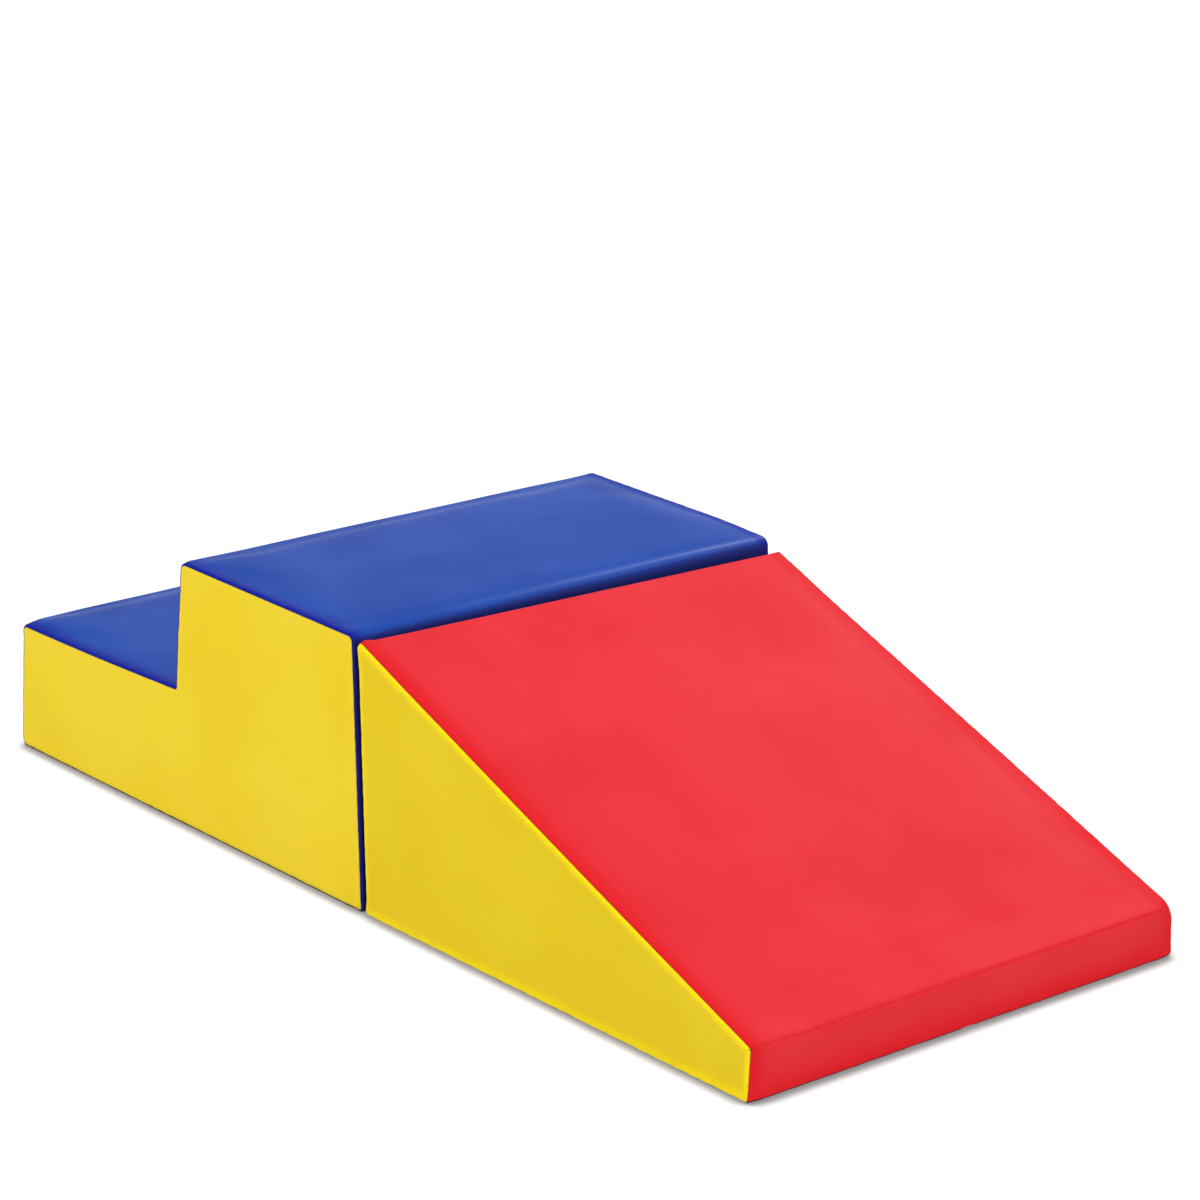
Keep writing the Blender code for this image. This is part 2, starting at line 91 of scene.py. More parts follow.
STEP_CORNERS = placed(STEP_FRONT_X, [
    (0.0, 0.0, CORNER_RADIUS),
    (STEP_LENGTH, 0.0, CORNER_RADIUS),
    (STEP_LENGTH - JOIN_LEAN, STEP_HEIGHT, CORNER_RADIUS),
    (RISER_FOOT + RISER_LEAN, STEP_HEIGHT, CORNER_RADIUS),
    (RISER_FOOT, TREAD_HEIGHT, INNER_CORNER_RADIUS),
    (FRONT_LEAN, TREAD_HEIGHT, CORNER_RADIUS),
])
RAMP_CORNERS = placed(RAMP_BACK_X, [
    (0.0, 0.0, CORNER_RADIUS),
    (RAMP_LENGTH, 0.0, CORNER_RADIUS),
    (RAMP_LENGTH, TOE_HEIGHT, TOE_CREASE_RADIUS),
    (-LEAN_SLOPE * RAMP_HEIGHT, RAMP_HEIGHT, CORNER_RADIUS),
])


def bottom_ends(corners):
    """Where the bottom of an outline starts and ends along X."""
    return corners[0][0], corners[1][0]


def inward(direction):
    """The inward normal of a side, for an outline that runs anticlockwise with +X right and +Z up."""
    return Vector((-direction.y, direction.x))


def outline(corners, inset, spacing):
    """Stations round an outline drawn in by inset, as (point, outward normal). Every inset gives as many."""
    points = [Vector((x, z)) for x, z, radius in corners]
    count = len(points)
    sides = [points[(i + 1) % count] - points[i] for i in range(count)]
    along = [side.normalized() for side in sides]
    arcs = []
    for i in range(count):
        before, after = along[i - 1], along[i]
        square = inward(before) + inward(after)
        corner = points[i] + square * inset / (1 + before.dot(after))
        turn = math.atan2(before.x * after.y - before.y * after.x, before.dot(after))
        bulge = math.copysign(1.0, turn)
        radius = max(corners[i][2] - bulge * inset, SMALLEST_RADIUS)
        start = corner - before * radius * math.tan(abs(turn) / 2)
        centre = start + inward(before) * bulge * radius
        arc = []
        for step in range(ARC_STEPS + 1):
            normal = Matrix.Rotation(turn * step / ARC_STEPS, 2) @ -inward(before)
            arc.append((centre + normal * bulge * radius, normal))
        arcs.append(arc)
    stations = []
    for i in range(count):
        stations += arcs[i]
        divisions = max(2, round(sides[i].length / spacing))
        start, end = arcs[i][-1][0], arcs[(i + 1) % count][0][0]
        for step in range(1, divisions):
            stations.append((start.lerp(end, step / divisions), -inward(along[i])))
    return stations


class Skin:
    """The points and faces of one sheet of a block's surface, gathered row by row."""

    def __init__(self):
        self.places = []
        self.normals = []
        self.seam_distances = []
        self.runs = []
        self.faces = []

    def add_row(self, stations, across, tilt, seam_distance, runs, to_end):
        """Add a row of stations, each at its place across; the sheet is turned by tilt towards +Y there."""
        first = len(self.places)
        for (point, normal), y, run, end_distance in zip(stations, across, runs, to_end):
            flat = normal * math.cos(tilt)
            self.places.append(Vector((point.x, y, point.y)))
            self.normals.append(Vector((flat.x, math.sin(tilt), flat.y)))
            self.seam_distances.append(min(seam_distance, end_distance))
            self.runs.append(run)
        return list(range(first, len(self.places)))

    def join_rows(self, rows, closed):
        """Quads between neighbouring rows, and round from their end to their start where they are closed."""
        for first, second in zip(rows, rows[1:]):
            count = len(first)
            for here in range(count if closed else count - 1):
                there = (here + 1) % count
                self.faces.append((first[here], first[there], second[there], second[here]))

    def fill_ring(self, ring, spacing, reach):
        """Close a flat ring with triangles on an even grid; reach is the ring's distance from the seam."""
        rim = np.array([(self.places[i].x, self.places[i].z) for i in ring])
        y = self.places[ring[0]].y
        low, high = rim.min(0), rim.max(0)
        inner = []
        for x in np.arange(low[0] + spacing / 2, high[0], spacing):
            for z in np.arange(low[1] + spacing / 2, high[1], spacing):
                distance = np.hypot(rim[:, 0] - x, rim[:, 1] - z).min()
                if distance > spacing / 2:
                    inner.append((x, z, distance))
        points = [Vector(point) for point in rim] + [Vector((x, z)) for x, z, distance in inner]
        edges = [(i, (i + 1) % len(ring)) for i in range(len(ring))]
        inside_only = 1
        result = delaunay_2d_cdt(points, edges, [list(range(len(ring)))], inside_only, spacing / 1000)
        sources = [origin[0] if origin else None for origin in result[3]]
        index_of = {i: place for i, place in enumerate(ring)}
        for face in result[2]:
            for corner in face:
                source = sources[corner]
                if source not in index_of:
                    x, z, distance = inner[source - len(ring)]
                    index_of[source] = len(self.places)
                    self.places.append(Vector((x, y, z)))
                    self.normals.append(Vector((0, math.copysign(1, y), 0)))
                    self.seam_distances.append(reach + distance)
                    self.runs.append(0.0)
            self.faces.append(tuple(index_of[sources[corner]] for corner in face))

    def mesh(self, name, places=None):
        """A mesh of the sheet whose faces look the way its normals point."""
        data = bpy.data.meshes.new(name)
        data.from_pydata([tuple(place) for place in places or self.places], [], self.faces)
        data.update()
        agreement = 0.0
        for face in data.polygons:
            agreement += face.area * face.normal.dot(self.normals[face.vertices[0]])
        if agreement < 0:
            data.flip_normals()
        return data


def shoulder(angle, depth):
    """A point on the rounded long edge, as (distance under the face, distance across the block)."""
    radius = SEAM_RADIUS - depth
    return SEAM_RADIUS - radius * math.cos(angle), HALF_WIDTH - SEAM_RADIUS + radius * math.sin(angle)


def closed_block(corners, depth, spacing):
    """A whole closed block, drawn in by depth, with a flat filled ring on each side."""
    skin = Skin()
    sections = []
    for step in range(ARC_STEPS, -1, -1):
        angle = math.pi / 2 * step / ARC_STEPS
        sections.append((*shoulder(angle, depth), angle))
    flat_half = HALF_WIDTH - SEAM_RADIUS
    flats = max(2, round(2 * flat_half / spacing))
    half = [(inset, -across, -angle) for inset, across, angle in sections]
    middle = [(depth, -flat_half + 2 * flat_half * step / flats, 0.0) for step in range(1, flats)]
    other = [(inset, -y, -tilt) for inset, y, tilt in half[::-1]]
    rows = []
    for inset, y, tilt in half + middle + other:
        stations = outline(corners, inset, spacing)
        zeros = [0.0] * len(stations)
        rows.append(skin.add_row(stations, [y] * len(stations), tilt, 0.0, zeros, zeros))
    skin.join_rows(rows, closed=True)
    skin.fill_ring(rows[0], spacing, 0.0)
    skin.fill_ring(rows[-1], spacing, 0.0)
    data = skin.mesh("closed_block")
    tidy = bmesh.new()
    tidy.from_mesh(data)
    bmesh.ops.remove_doubles(tidy, verts=tidy.verts, dist=CLEARANCE / 10)
    bmesh.ops.recalc_face_normals(tidy, faces=tidy.faces)
    tidy.to_mesh(data)
    tidy.free()
    return data


def linked(name, data):
    """A new object in the scene that holds a mesh."""
    thing = bpy.data.objects.new(name, data)
    bpy.context.scene.collection.objects.link(thing)
    return thing


def with_modifiers_applied(thing):
    """The object's evaluated shape as its own plain mesh, with the modifiers gone."""
    data = bpy.data.meshes.new_from_object(thing.evaluated_get(bpy.context.evaluated_depsgraph_get()))
    thing.modifiers.clear()
    thing.data = data
    return thing


# How the foam pushes its cover out. A sewn cover is a little small for its foam, so each face swells between
# its seams, except underneath and where the blocks press together. A cloth simulation gives the swell.
SHELL_VOXEL = 0.009
SWELL_LIMIT = 0.0038
SWELL_SOFTNESS = 0.012
FOAM_GIVE = 0.0010
FADE_DEPTH = 0.030
CLOTH_PRESSURE = 4.0
CLOTH_FRAMES = 20
HELD_NEAR_FLOOR = 0.004
HELD_NEAR_JOIN = 0.012
HELD_NEAR_STEP_CORNER = 0.030
HELD_NEAR_THIN_EDGE = 0.022
EASED_NEAR_CORNER = 0.110
SMOOTHING_ROUNDS = 3


def smooth_share(value):
    """A share from nothing to one, eased at both ends."""
    share = min(1.0, max(0.0, value))
    return share * share * (3 - 2 * share)


def from_join(place, join_x):
    """How far a place is from a block's leaning face in the join, which meets the floor at join_x."""
    return abs(place.x - join_x + LEAN_SLOPE * place.z)


class Swell:
    """Where the points of one block's skin go once the cover is pulled over the foam."""

    def __init__(self, name, corners, join_x, held_corner, held_reach):
        corner_x, corner_z, radius = corners[held_corner]
        shell = linked(name + "_shell", closed_block(corners, 0.0, FOAM_SPACING))
        remesh = shell.modifiers.new("remesh", "REMESH")
        remesh.mode = "VOXEL"
        remesh.voxel_size = SHELL_VOXEL
        with_modifiers_applied(shell)
        rest = [vertex.co.copy() for vertex in shell.data.vertices]
        held = shell.vertex_groups.new(name="held")
        for i, place in enumerate(rest):
            near_join = from_join(place, join_x) < HELD_NEAR_JOIN
            near_corner = math.hypot(place.x - corner_x, place.z - corner_z) < held_reach
            if place.z < HELD_NEAR_FLOOR or near_join or near_corner:
                held.add([i], 1.0, "REPLACE")
        cloth = shell.modifiers.new("cloth", "CLOTH")
        cloth.settings.vertex_group_mass = held.name
        cloth.settings.use_pressure = True
        cloth.settings.uniform_pressure_force = CLOTH_PRESSURE
        cloth.settings.effector_weights.gravity = 0.0
        cloth.point_cache.frame_end = CLOTH_FRAMES
        for frame_number in range(1, CLOTH_FRAMES + 1):
            bpy.context.scene.frame_set(frame_number)
        moved = shell.evaluated_get(bpy.context.evaluated_depsgraph_get()).data.vertices
        normals = [vertex.normal.copy() for vertex in shell.data.vertices]
        heights = [(moved[i].co - place).dot(normals[i]) for i, place in enumerate(rest)]
        neighbours = [[] for place in rest]
        for edge in shell.data.edges:
            a, b = edge.vertices
            neighbours[a].append(b)
            neighbours[b].append(a)
        for smoothing_round in range(SMOOTHING_ROUNDS):
            heights = [
                (heights[i] + sum(heights[j] for j in neighbours[i])) / (1 + len(neighbours[i]))
                for i in range(len(heights))
            ]
        self.moves = []
        for height, normal in zip(heights, normals):
            limit = SWELL_LIMIT if height > 0 else FOAM_GIVE
            self.moves.append(normal * limit * height / math.hypot(height, SWELL_SOFTNESS))
        self.join_x = join_x
        self.held_corner = (corner_x, corner_z)
        self.rest = rest
        self.polygons = [tuple(face.vertices) for face in shell.data.polygons]
        self.tree = BVHTree.FromPolygons(rest, self.polygons)
        bpy.data.objects.remove(shell, do_unlink=True)
        bpy.context.scene.frame_set(1)

    def at(self, place):
        """How far a point on the skin moves, and less and less inside the foam."""
        near, normal, index, distance = self.tree.find_nearest(place)
        polygon = self.polygons[index]
        weights = poly_3d_calc([self.rest[i] for i in polygon], near)
        move = sum((self.moves[i] * weight for i, weight in zip(polygon, weights)), Vector())
        from_corner = math.hypot(place.x - self.held_corner[0], place.z - self.held_corner[1])
        return move * max(0.0, 1 - distance / FADE_DEPTH) * smooth_share(from_corner / EASED_NEAR_CORNER)


step_swell = Swell("step", STEP_CORNERS, STEP_JOIN_X, RISER_FOOT_CORNER, HELD_NEAR_STEP_CORNER)
ramp_swell = Swell("ramp", RAMP_CORNERS, RAMP_BACK_X, THIN_EDGE_CORNER, HELD_NEAR_THIN_EDGE)

# How each block settles on the floor and against the other, a few millimetres out of true, as soft blocks do.
# Pairs give the near side and the far side.
STEP_FRONT_RISE = (-0.0010, 0.0030)
STEP_RISER_RISE = (0.0040, 0.0022)
STEP_JOIN_RISE = (0.0012, -0.0010)
STEP_FOOT_SPREAD = 0.0036
TREAD_SAG = 0.0012
TREAD_SEAM_DROP = 0.0026
TREAD_SEAM_REACH = 0.024
STEP_CORNER_IN = 0.0052
STEP_CORNER_DOWN = 0.0010
STEP_CORNER_REACH = 0.110
STEP_CORNER_START = 0.200
RAMP_TOP_RISE = (0.0072, -0.0052)
RAMP_FOOT_SPREAD = 0.0016
RAMP_BACK_OUT = 0.0014
RAMP_FAR_IN = 0.0030
RAMP_EDGE_START = 0.265
RAMP_EDGE_SHORT = 0.0061
RAMP_EDGE_REACH = 0.021
RAMP_EDGE_FAR_OUT = 0.0018
RAMP_EAR_REACH = 0.014
RAMP_EAR_OUT = 0.0034
RAMP_EAR_RISE = 0.0033
RAMP_SLOPE = (RAMP_HEIGHT - TOE_HEIGHT) / (RAMP_LENGTH + LEAN_SLOPE * RAMP_HEIGHT)
NEAR_EDGE_REACH = 0.090
FOOT_REACH = 0.100
TOE_TUCK = 0.0040
TOE_TUCK_REACH = 0.016
FAR_TOE_TUCK_SHARE = 0.25
SLOPE_NEAR_RISE = 0.0018


def near_to_far(pair, place):
    """A value between those of the near side and the far side."""
    share = place.y / BLOCK_WIDTH + 0.5
    return pair[0] * (1 - share) + pair[1] * share


def close_to(distance, reach):
    """One at no distance, falling to nothing at reach."""
    return smooth_share(1 - abs(distance) / reach)


def bell(distance, half_width):
    """One at no distance, falling off on both sides like a bell."""
    return math.exp(-((distance / half_width) ** 2))


def step_settled(place):
    """The step block is high at its riser, low in front, spread at its foot and soft at its far corner."""
    from_riser = place.x - STEP_FRONT_X - RISER_FOOT
    at_end, reach = STEP_FRONT_RISE, RISER_FOOT
    if from_riser > 0:
        at_end, reach = STEP_JOIN_RISE, STEP_LENGTH - RISER_FOOT
    end_share = min(1.0, abs(from_riser) / reach)
    rise = near_to_far(STEP_RISER_RISE, place) * (1 - end_share) + near_to_far(at_end, place) * end_share
    near = close_to(place.y + HALF_WIDTH, NEAR_EDGE_REACH)
    if from_riser < 0:
        rise -= TREAD_SAG * near * math.sin(math.pi * end_share)
        rise -= TREAD_SEAM_DROP * close_to(place.y + HALF_WIDTH, TREAD_SEAM_REACH) * end_share
    from_back = place.x - STEP_FRONT_X - STEP_LENGTH
    spread = STEP_FOOT_SPREAD * near * close_to(from_back, FOOT_REACH) * max(0.0, 1 - place.z / STEP_HEIGHT)
    corner = close_to(from_back, STEP_CORNER_REACH) * close_to(HALF_WIDTH - place.y, STEP_CORNER_REACH)
    corner *= smooth_share((place.z - STEP_CORNER_START) / (STEP_HEIGHT - STEP_CORNER_START))
    height_share = min(1.0, max(place.z, 0.0) / TREAD_HEIGHT)
    return Vector((spread, -STEP_CORNER_IN * corner, rise * height_share - STEP_CORNER_DOWN * corner))


def ramp_settled(place):
    """The ramp's thin edge stops short of the step block but for its near ear, and its foot spreads."""
    height_share = max(place.z, 0.0) / RAMP_HEIGHT
    rise = near_to_far(RAMP_TOP_RISE, place) * height_share ** 2
    top_share = max(0.0, place.z - RAMP_EDGE_START) / (RAMP_HEIGHT - RAMP_EDGE_START)
    near = place.y + HALF_WIDTH
    ear = close_to(near, RAMP_EAR_REACH) * top_share
    short = RAMP_EDGE_SHORT * (1 - close_to(near, RAMP_EDGE_REACH)) * top_share
    foot = close_to(near, NEAR_EDGE_REACH) * close_to(place.x - RAMP_BACK_X, FOOT_REACH)
    spread = foot * (RAMP_FOOT_SPREAD * (1 - height_share) - RAMP_BACK_OUT * height_share)
    from_toe = place.x - RAMP_BACK_X - RAMP_LENGTH
    toe = close_to(HALF_WIDTH - abs(place.y), TOE_TUCK_REACH) * close_to(from_toe, TOE_TUCK_REACH)
    tuck = near_to_far((TOE_TUCK, TOE_TUCK * FAR_TOE_TUCK_SHARE), place)
    tuck *= toe * max(0.0, 1 - place.z / TOE_HEIGHT)
    above_floor = min(1.0, place.z / TOE_HEIGHT)
    rise += SLOPE_NEAR_RISE * close_to(near, NEAR_EDGE_REACH) * (1 - height_share) * above_floor
    far_in = RAMP_FAR_IN * max(0.0, above_floor)
    return Vector((
        short - RAMP_EAR_OUT * ear + spread - tuck,
        near_to_far((0.0, RAMP_EDGE_FAR_OUT * top_share - far_in), place),
        rise - RAMP_SLOPE * short + RAMP_EAR_RISE * ear,
    ))


# The foam pieces themselves, open-celled and cream-white, a little smaller than the inside of their covers.
# Each is one closed slab with the swell of its block; those on the floor have a shallow channel beneath for
# the zip.
FOAM_CREAM = (0.80, 0.79, 0.73, 1.0)
FOAM_AGED = (0.80, 0.75, 0.60, 1.0)
FOAM_ROUGHNESS = 0.95
FOAM_PORES_PER_METRE = 900.0
FOAM_PATCHES_PER_METRE = 9.0
FOAM_PORE_DEPTH = 0.0004
SLAB_INSET = 0.0028
CHANNEL_OVERRUN = 0.005
GLUE_GAP = 0.0003
FOAM_TOP_RADIUS = 0.017


def new_group(name, kind, inputs, outputs):
    """An empty node group with named inputs (name, socket kind, value) and outputs (name, socket kind)."""
    tree = bpy.data.node_groups.new(name, kind)
    for label, socket_kind, value in inputs:
        socket = tree.interface.new_socket(name=label, in_out="INPUT", socket_type=f"NodeSocket{socket_kind}")
        if value is not None:
            socket.default_value = value
    for label, socket_kind in outputs:
        tree.interface.new_socket(name=label, in_out="OUTPUT", socket_type=f"NodeSocket{socket_kind}")
    return tree, tree.nodes.new("NodeGroupInput").outputs, tree.nodes.new("NodeGroupOutput").inputs


def feed(tree, sockets, feeds):
    """Link or set each of the sockets that is named or numbered in feeds."""
    for key, value in feeds.items():
        if isinstance(value, bpy.types.NodeSocket):
            tree.links.new(value, sockets[key])
        else:
            sockets[key].default_value = value


def add_node(tree, kind, feeds=None, **settings):
    """A node with its settings and what feeds its inputs."""
    node = tree.nodes.new(kind)
    for key, value in settings.items():
        setattr(node, key, value)
    feed(tree, node.inputs, feeds or {})
    return node


def worked_out(tree, operation, *values):
    """The result of one step of arithmetic in a node tree."""
    return add_node(tree, "ShaderNodeMath", dict(enumerate(values)), operation=operation).outputs[0]


def mixed(tree, share, first, second):
    """A colour between two others in a node tree."""
    feeds = {"Factor": share, 6: first, 7: second}
    return add_node(tree, "ShaderNodeMix", feeds, data_type="RGBA").outputs[2]


def ramped(tree, value, low, high, start=0.0, end=1.0):
    """A value taken smoothly from start to end while another goes from low to high."""
    feeds = {"Value": value, "From Min": low, "From Max": high, "To Min": start, "To Max": end}
    return add_node(tree, "ShaderNodeMapRange", feeds, interpolation_type="SMOOTHSTEP").outputs["Result"]


def own_place(tree):
    """Where a point of the surface is on its own object."""
    return add_node(tree, "ShaderNodeTexCoord").outputs["Object"]


def patches_of(tree, place, per_metre):
    """Soft noise that changes over the surface, from nothing to one."""
    return add_node(tree, "ShaderNodeTexNoise", {"Vector": place, "Scale": per_metre}).outputs["Fac"]


def cells_of(tree, place, per_metre):
    """The distance to the nearest of many scattered points, for pores and grain."""
    return add_node(tree, "ShaderNodeTexVoronoi", {"Vector": place, "Scale": per_metre}).outputs["Distance"]


def bumped(tree, height, depth, **feeds):
    """The normal of a surface that stands out by a height."""
    feeds.update({"Height": height, "Distance": depth})
    return add_node(tree, "ShaderNodeBump", feeds).outputs["Normal"]


def bare_material(name):
    """A new material, its node tree and the inputs of its shader."""
    material = bpy.data.materials.new(name)
    material.use_nodes = True
    return material, material.node_tree, material.node_tree.nodes["Principled BSDF"].inputs


def patchy_material(name, first, second, per_metre, roughness, pores_per_metre=0.0, pore_depth=0.0):
    """A material whose colour goes from one to another in soft patches, with pores if they are given."""
    material, tree, surface = bare_material(name)
    place = own_place(tree)
    patches = patches_of(tree, place, per_metre)
    feed(tree, surface, {"Base Color": mixed(tree, patches, first, second), "Roughness": roughness})
    if pore_depth:
        pores = cells_of(tree, place, pores_per_metre)
        feed(tree, surface, {"Normal": bumped(tree, pores, pore_depth)})
    return material


def dress(piece, material):
    """Make this the piece's only material."""
    piece.data.materials.clear()
    piece.data.materials.append(material)


def combined(piece, other, operation):
    """Join another solid onto the piece, or cut it out."""
    step = piece.modifiers.new("step", "BOOLEAN")
    step.object = other
    step.operation = operation
    step.solver = "EXACT"
    with_modifiers_applied(piece)
    bpy.data.objects.remove(other, do_unlink=True)


def boxed(name, low, high):
    """A plain box between two corners, to cut with."""
    data = bpy.data.meshes.new(name)
    solid = bmesh.new()
    bmesh.ops.create_cube(solid, size=1.0)
    for vertex in solid.verts:
        vertex.co = Vector([a + (b - a) * (c + 0.5) for a, b, c in zip(low, high, vertex.co)])
    solid.to_mesh(data)
    solid.free()
    return linked(name, data)


def foam_piece(name, corners, swell, settled, body, channel):
    """A closed foam slab fitted inside its cover, with the zip's channel where it lies on the floor."""
    piece = linked(name, closed_block(corners, SLAB_INSET, FOAM_SPACING))
    if channel:
        start, end = bottom_ends(corners)
        low = (start - CHANNEL_OVERRUN, -ZIP_CHANNEL_HALF_WIDTH, -CHANNEL_OVERRUN)
        high = (end + CHANNEL_OVERRUN, ZIP_CHANNEL_HALF_WIDTH, ZIP_CHANNEL_DEPTH)
        combined(piece, boxed(name + "_channel", low, high), "DIFFERENCE")
    for vertex in piece.data.vertices:
        place = vertex.co.copy()
        vertex.co = place + swell.at(place) + settled(place)
    dress(piece, foam_white)
    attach(piece, body)
    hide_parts(name)


foam_white = patchy_material(
    "foam",
    FOAM_CREAM,
    FOAM_AGED,
    FOAM_PATCHES_PER_METRE,
    FOAM_ROUGHNESS,
    FOAM_PORES_PER_METRE,
    FOAM_PORE_DEPTH,
)
base_corners = placed(STEP_FRONT_X, [
    (0.0, 0.0, CORNER_RADIUS),
    (STEP_LENGTH, 0.0, CORNER_RADIUS),
    (STEP_LENGTH - LEAN_SLOPE * TREAD_HEIGHT, TREAD_HEIGHT, SMALLEST_RADIUS),
    (RISER_FOOT - INNER_CORNER_RADIUS, TREAD_HEIGHT, SMALLEST_RADIUS),
    (FRONT_LEAN, TREAD_HEIGHT, CORNER_RADIUS),
])
riser_floor = TREAD_HEIGHT - 2 * SLAB_INSET + GLUE_GAP
riser_corners = placed(STEP_FRONT_X, [
    (RISER_FOOT - RISER_SLOPE * (TREAD_HEIGHT - riser_floor), riser_floor, SMALLEST_RADIUS),
    (STEP_LENGTH - LEAN_SLOPE * riser_floor, riser_floor, SMALLEST_RADIUS),
    (STEP_LENGTH - JOIN_LEAN, STEP_HEIGHT, FOAM_TOP_RADIUS),
    (RISER_FOOT + RISER_LEAN, STEP_HEIGHT, FOAM_TOP_RADIUS),
])
foam_piece("step_foam_base", base_corners, step_swell, step_settled, "step_block", channel=True)
foam_piece("step_foam_riser", riser_corners, step_swell, step_settled, "step_block", channel=False)
foam_piece("ramp_foam_wedge", RAMP_CORNERS, ramp_swell, ramp_settled, "ramp_block", channel=True)

# The vinyl of the covers: a knit backing coated with smooth soft vinyl, cut into one band over each block and
# a flat panel on each side. The panels are sewn inside out and turned, so that only a thin groove shows.
COVER_SPACING = 0.0032
BAND_STEP_ACROSS = 0.014
SEAM_TURN = {"step": math.radians(74.0), "ramp": math.radians(46.0)}
SEAM_GAP = 0.0002
EDGE_RADIUS = {("step", -1): 0.0034, ("step", 1): 0.0050, ("ramp", -1): 0.0062, ("ramp", 1): 0.0032}
FLOOR_EDGE_RADIUS = 0.0028
FLOOR_EDGE_HEIGHT = 0.022
EDGE_DROP = 0.0009
EDGE_DROP_REACH = 0.030
TURN_SHARES = (0.0, 0.14, 0.32, 0.54, 0.78, 1.0)
EDGE_ROWS = (0.0014, 0.0035, 0.006, 0.009, 0.0115, 0.0135, 0.0155, 0.018, 0.025, 0.034, 0.046)
ALLOWANCE_WIDTH = 0.0165
ALLOWANCE_RISE = 0.00035
ALLOWANCE_FADE = 0.0030
CREASE_DEPTH = 0.0018
CREASE_HALF_WIDTH = 0.0028
CREASE_SHADE_SPREAD = 8.0
CREASE_SHADE_FROM_SEAM = 0.0015
CREASE_BELOW_BEND = 0.0005
SIDE_ROWS = (0.0008, 0.0018, 0.0032, 0.0055, 0.009, 0.014)
CORNER_SOFT_REACH = 0.015
SEAM_CORNER_RADII = {
    ("step", -1): (0.0095, 0.0045, 0.0090, 0.0125, 0.0010, 0.0085),
    ("step", 1): (0.0095, 0.0060, 0.0120, 0.0080, 0.0020, 0.0060),
    ("ramp", -1): (0.0085, 0.0045, 0.0055, 0.0098),
    ("ramp", 1): (0.0085, 0.0075, 0.0230, 0.0030),
}
MIDDLE_CORNER_RADII = {
    "step": (0.0080, 0.0080, 0.0130, 0.0080, 0.0050, 0.0080),
    "ramp": (0.0080, 0.0060, 0.0070, 0.0035),
}
SEAM_GROOVE_DEPTH = 0.0007
SEAM_GROOVE_HALF_WIDTH = 0.0012
PUCKER_DEPTH = 0.00045
PUCKER_REACH = 0.009
PUCKER_PITCH = 0.0085
DENT_DEPTH = 0.0010
DENT_SIZE = 0.150
DENT_NOISE_START = (3.7, 1.3, 8.2)
RIPPLE_DEPTH = 0.0003
RIPPLE_SIZE = 0.045
RIPPLE_NOISE_START = (9.1, 4.4, 2.6)
CALM_NEAR_SEAM = 0.030
FLOOR_CALM = 0.012
JOIN_CALM = 0.030
NO_END = 1.0

# The colours for the seams are painted shade on the rounded edges beside them, but painted light on the
# ramp's yellow.
BLUE = (0.019, 0.073, 0.390, 1.0)
BLUE_SHADE = (0.016, 0.060, 0.342, 1.0)
BLUE_PAINTED_SEAM_SHADE = (0.005, 0.014, 0.300, 1.0)
BLUE_SEAM_REACH = 0.025
RED = (0.742, 0.035, 0.047, 1.0)
RED_SHADE = (0.712, 0.029, 0.038, 1.0)
RED_PAINTED_SEAM_SHADE = (0.720, 0.015, 0.022, 1.0)
RED_SEAM_REACH = 0.030
STEP_YELLOW = (0.850, 0.640, 0.037, 1.0)
STEP_YELLOW_SHADE = (0.820, 0.610, 0.024, 1.0)
STEP_YELLOW_PAINTED_SEAM_SHADE = (0.850, 0.630, 0.030, 1.0)
RAMP_YELLOW = (0.790, 0.590, 0.024, 1.0)
RAMP_YELLOW_SHADE = (0.765, 0.565, 0.018, 1.0)
RAMP_YELLOW_PAINTED_SEAM_HIGHLIGHT = (0.955, 0.735, 0.009, 1.0)
YELLOW_SEAM_REACH = 0.011
VINYL_PATCHES_PER_METRE = 6.5
VINYL_PATCHES_FROM = 0.35
VINYL_PATCHES_TO = 0.65
VINYL_RAGGED_PER_METRE = 60.0
VINYL_RAGGED_DEPTH = 0.006
VINYL_CREASES_PER_METRE = 40.0
VINYL_CREASE_DEPTH = 0.00030
VINYL_GRAIN_PER_METRE = 1100.0
VINYL_GRAIN_DEPTH = 0.00003
VINYL_ROUGHNESS = 0.26
VINYL_ROUGHNESS_SPREAD = 0.05
VINYL_SPECULAR = 0.013
# Painted shadow: a black line laid along the groove of every seam.
SEAM_SHADOW_LINE_START = 0.0002
SEAM_SHADOW_LINE_END = 0.0012
SEAM_SHADOW_LINE_DEPTH_SHARE = 0.16
SEAM_SHADOW_LINE_COLOUR = (0.0, 0.0, 0.0, 1.0)
DIMPLE_PITCH = 0.0044
DIMPLE_REACH = 0.0040
DIMPLE_DEPTH = 0.00030
# Painted shade: the faces where the two blocks meet are painted dark, standing in for the shade in the gap
# between.
JOIN_PAINTED_SHADE = (0.017, 0.014, 0.118, 1.0)
JOIN_PAINTED_SHADE_SHARE = 0.78
JOIN_PAINTED_SHADE_REACH = 0.0050
SHINE_SHARE = 0.55
SHINE_ROUGHNESS = 0.20
SHINE_FROM_EDGE = 0.0090
SHINE_HALF_WIDTH = 0.0044
SHINE_START_ACROSS = -0.26
SHINE_FULL_ACROSS = 0.02
SHINE_PATCH_SIZE = 0.045
SHINE_PATCH_SHARE = 0.30


def mark_of(tree, label):
    """A share or distance that each piece of cover carries under a name."""
    return add_node(tree, "ShaderNodeAttribute", attribute_name=label).outputs["Fac"]


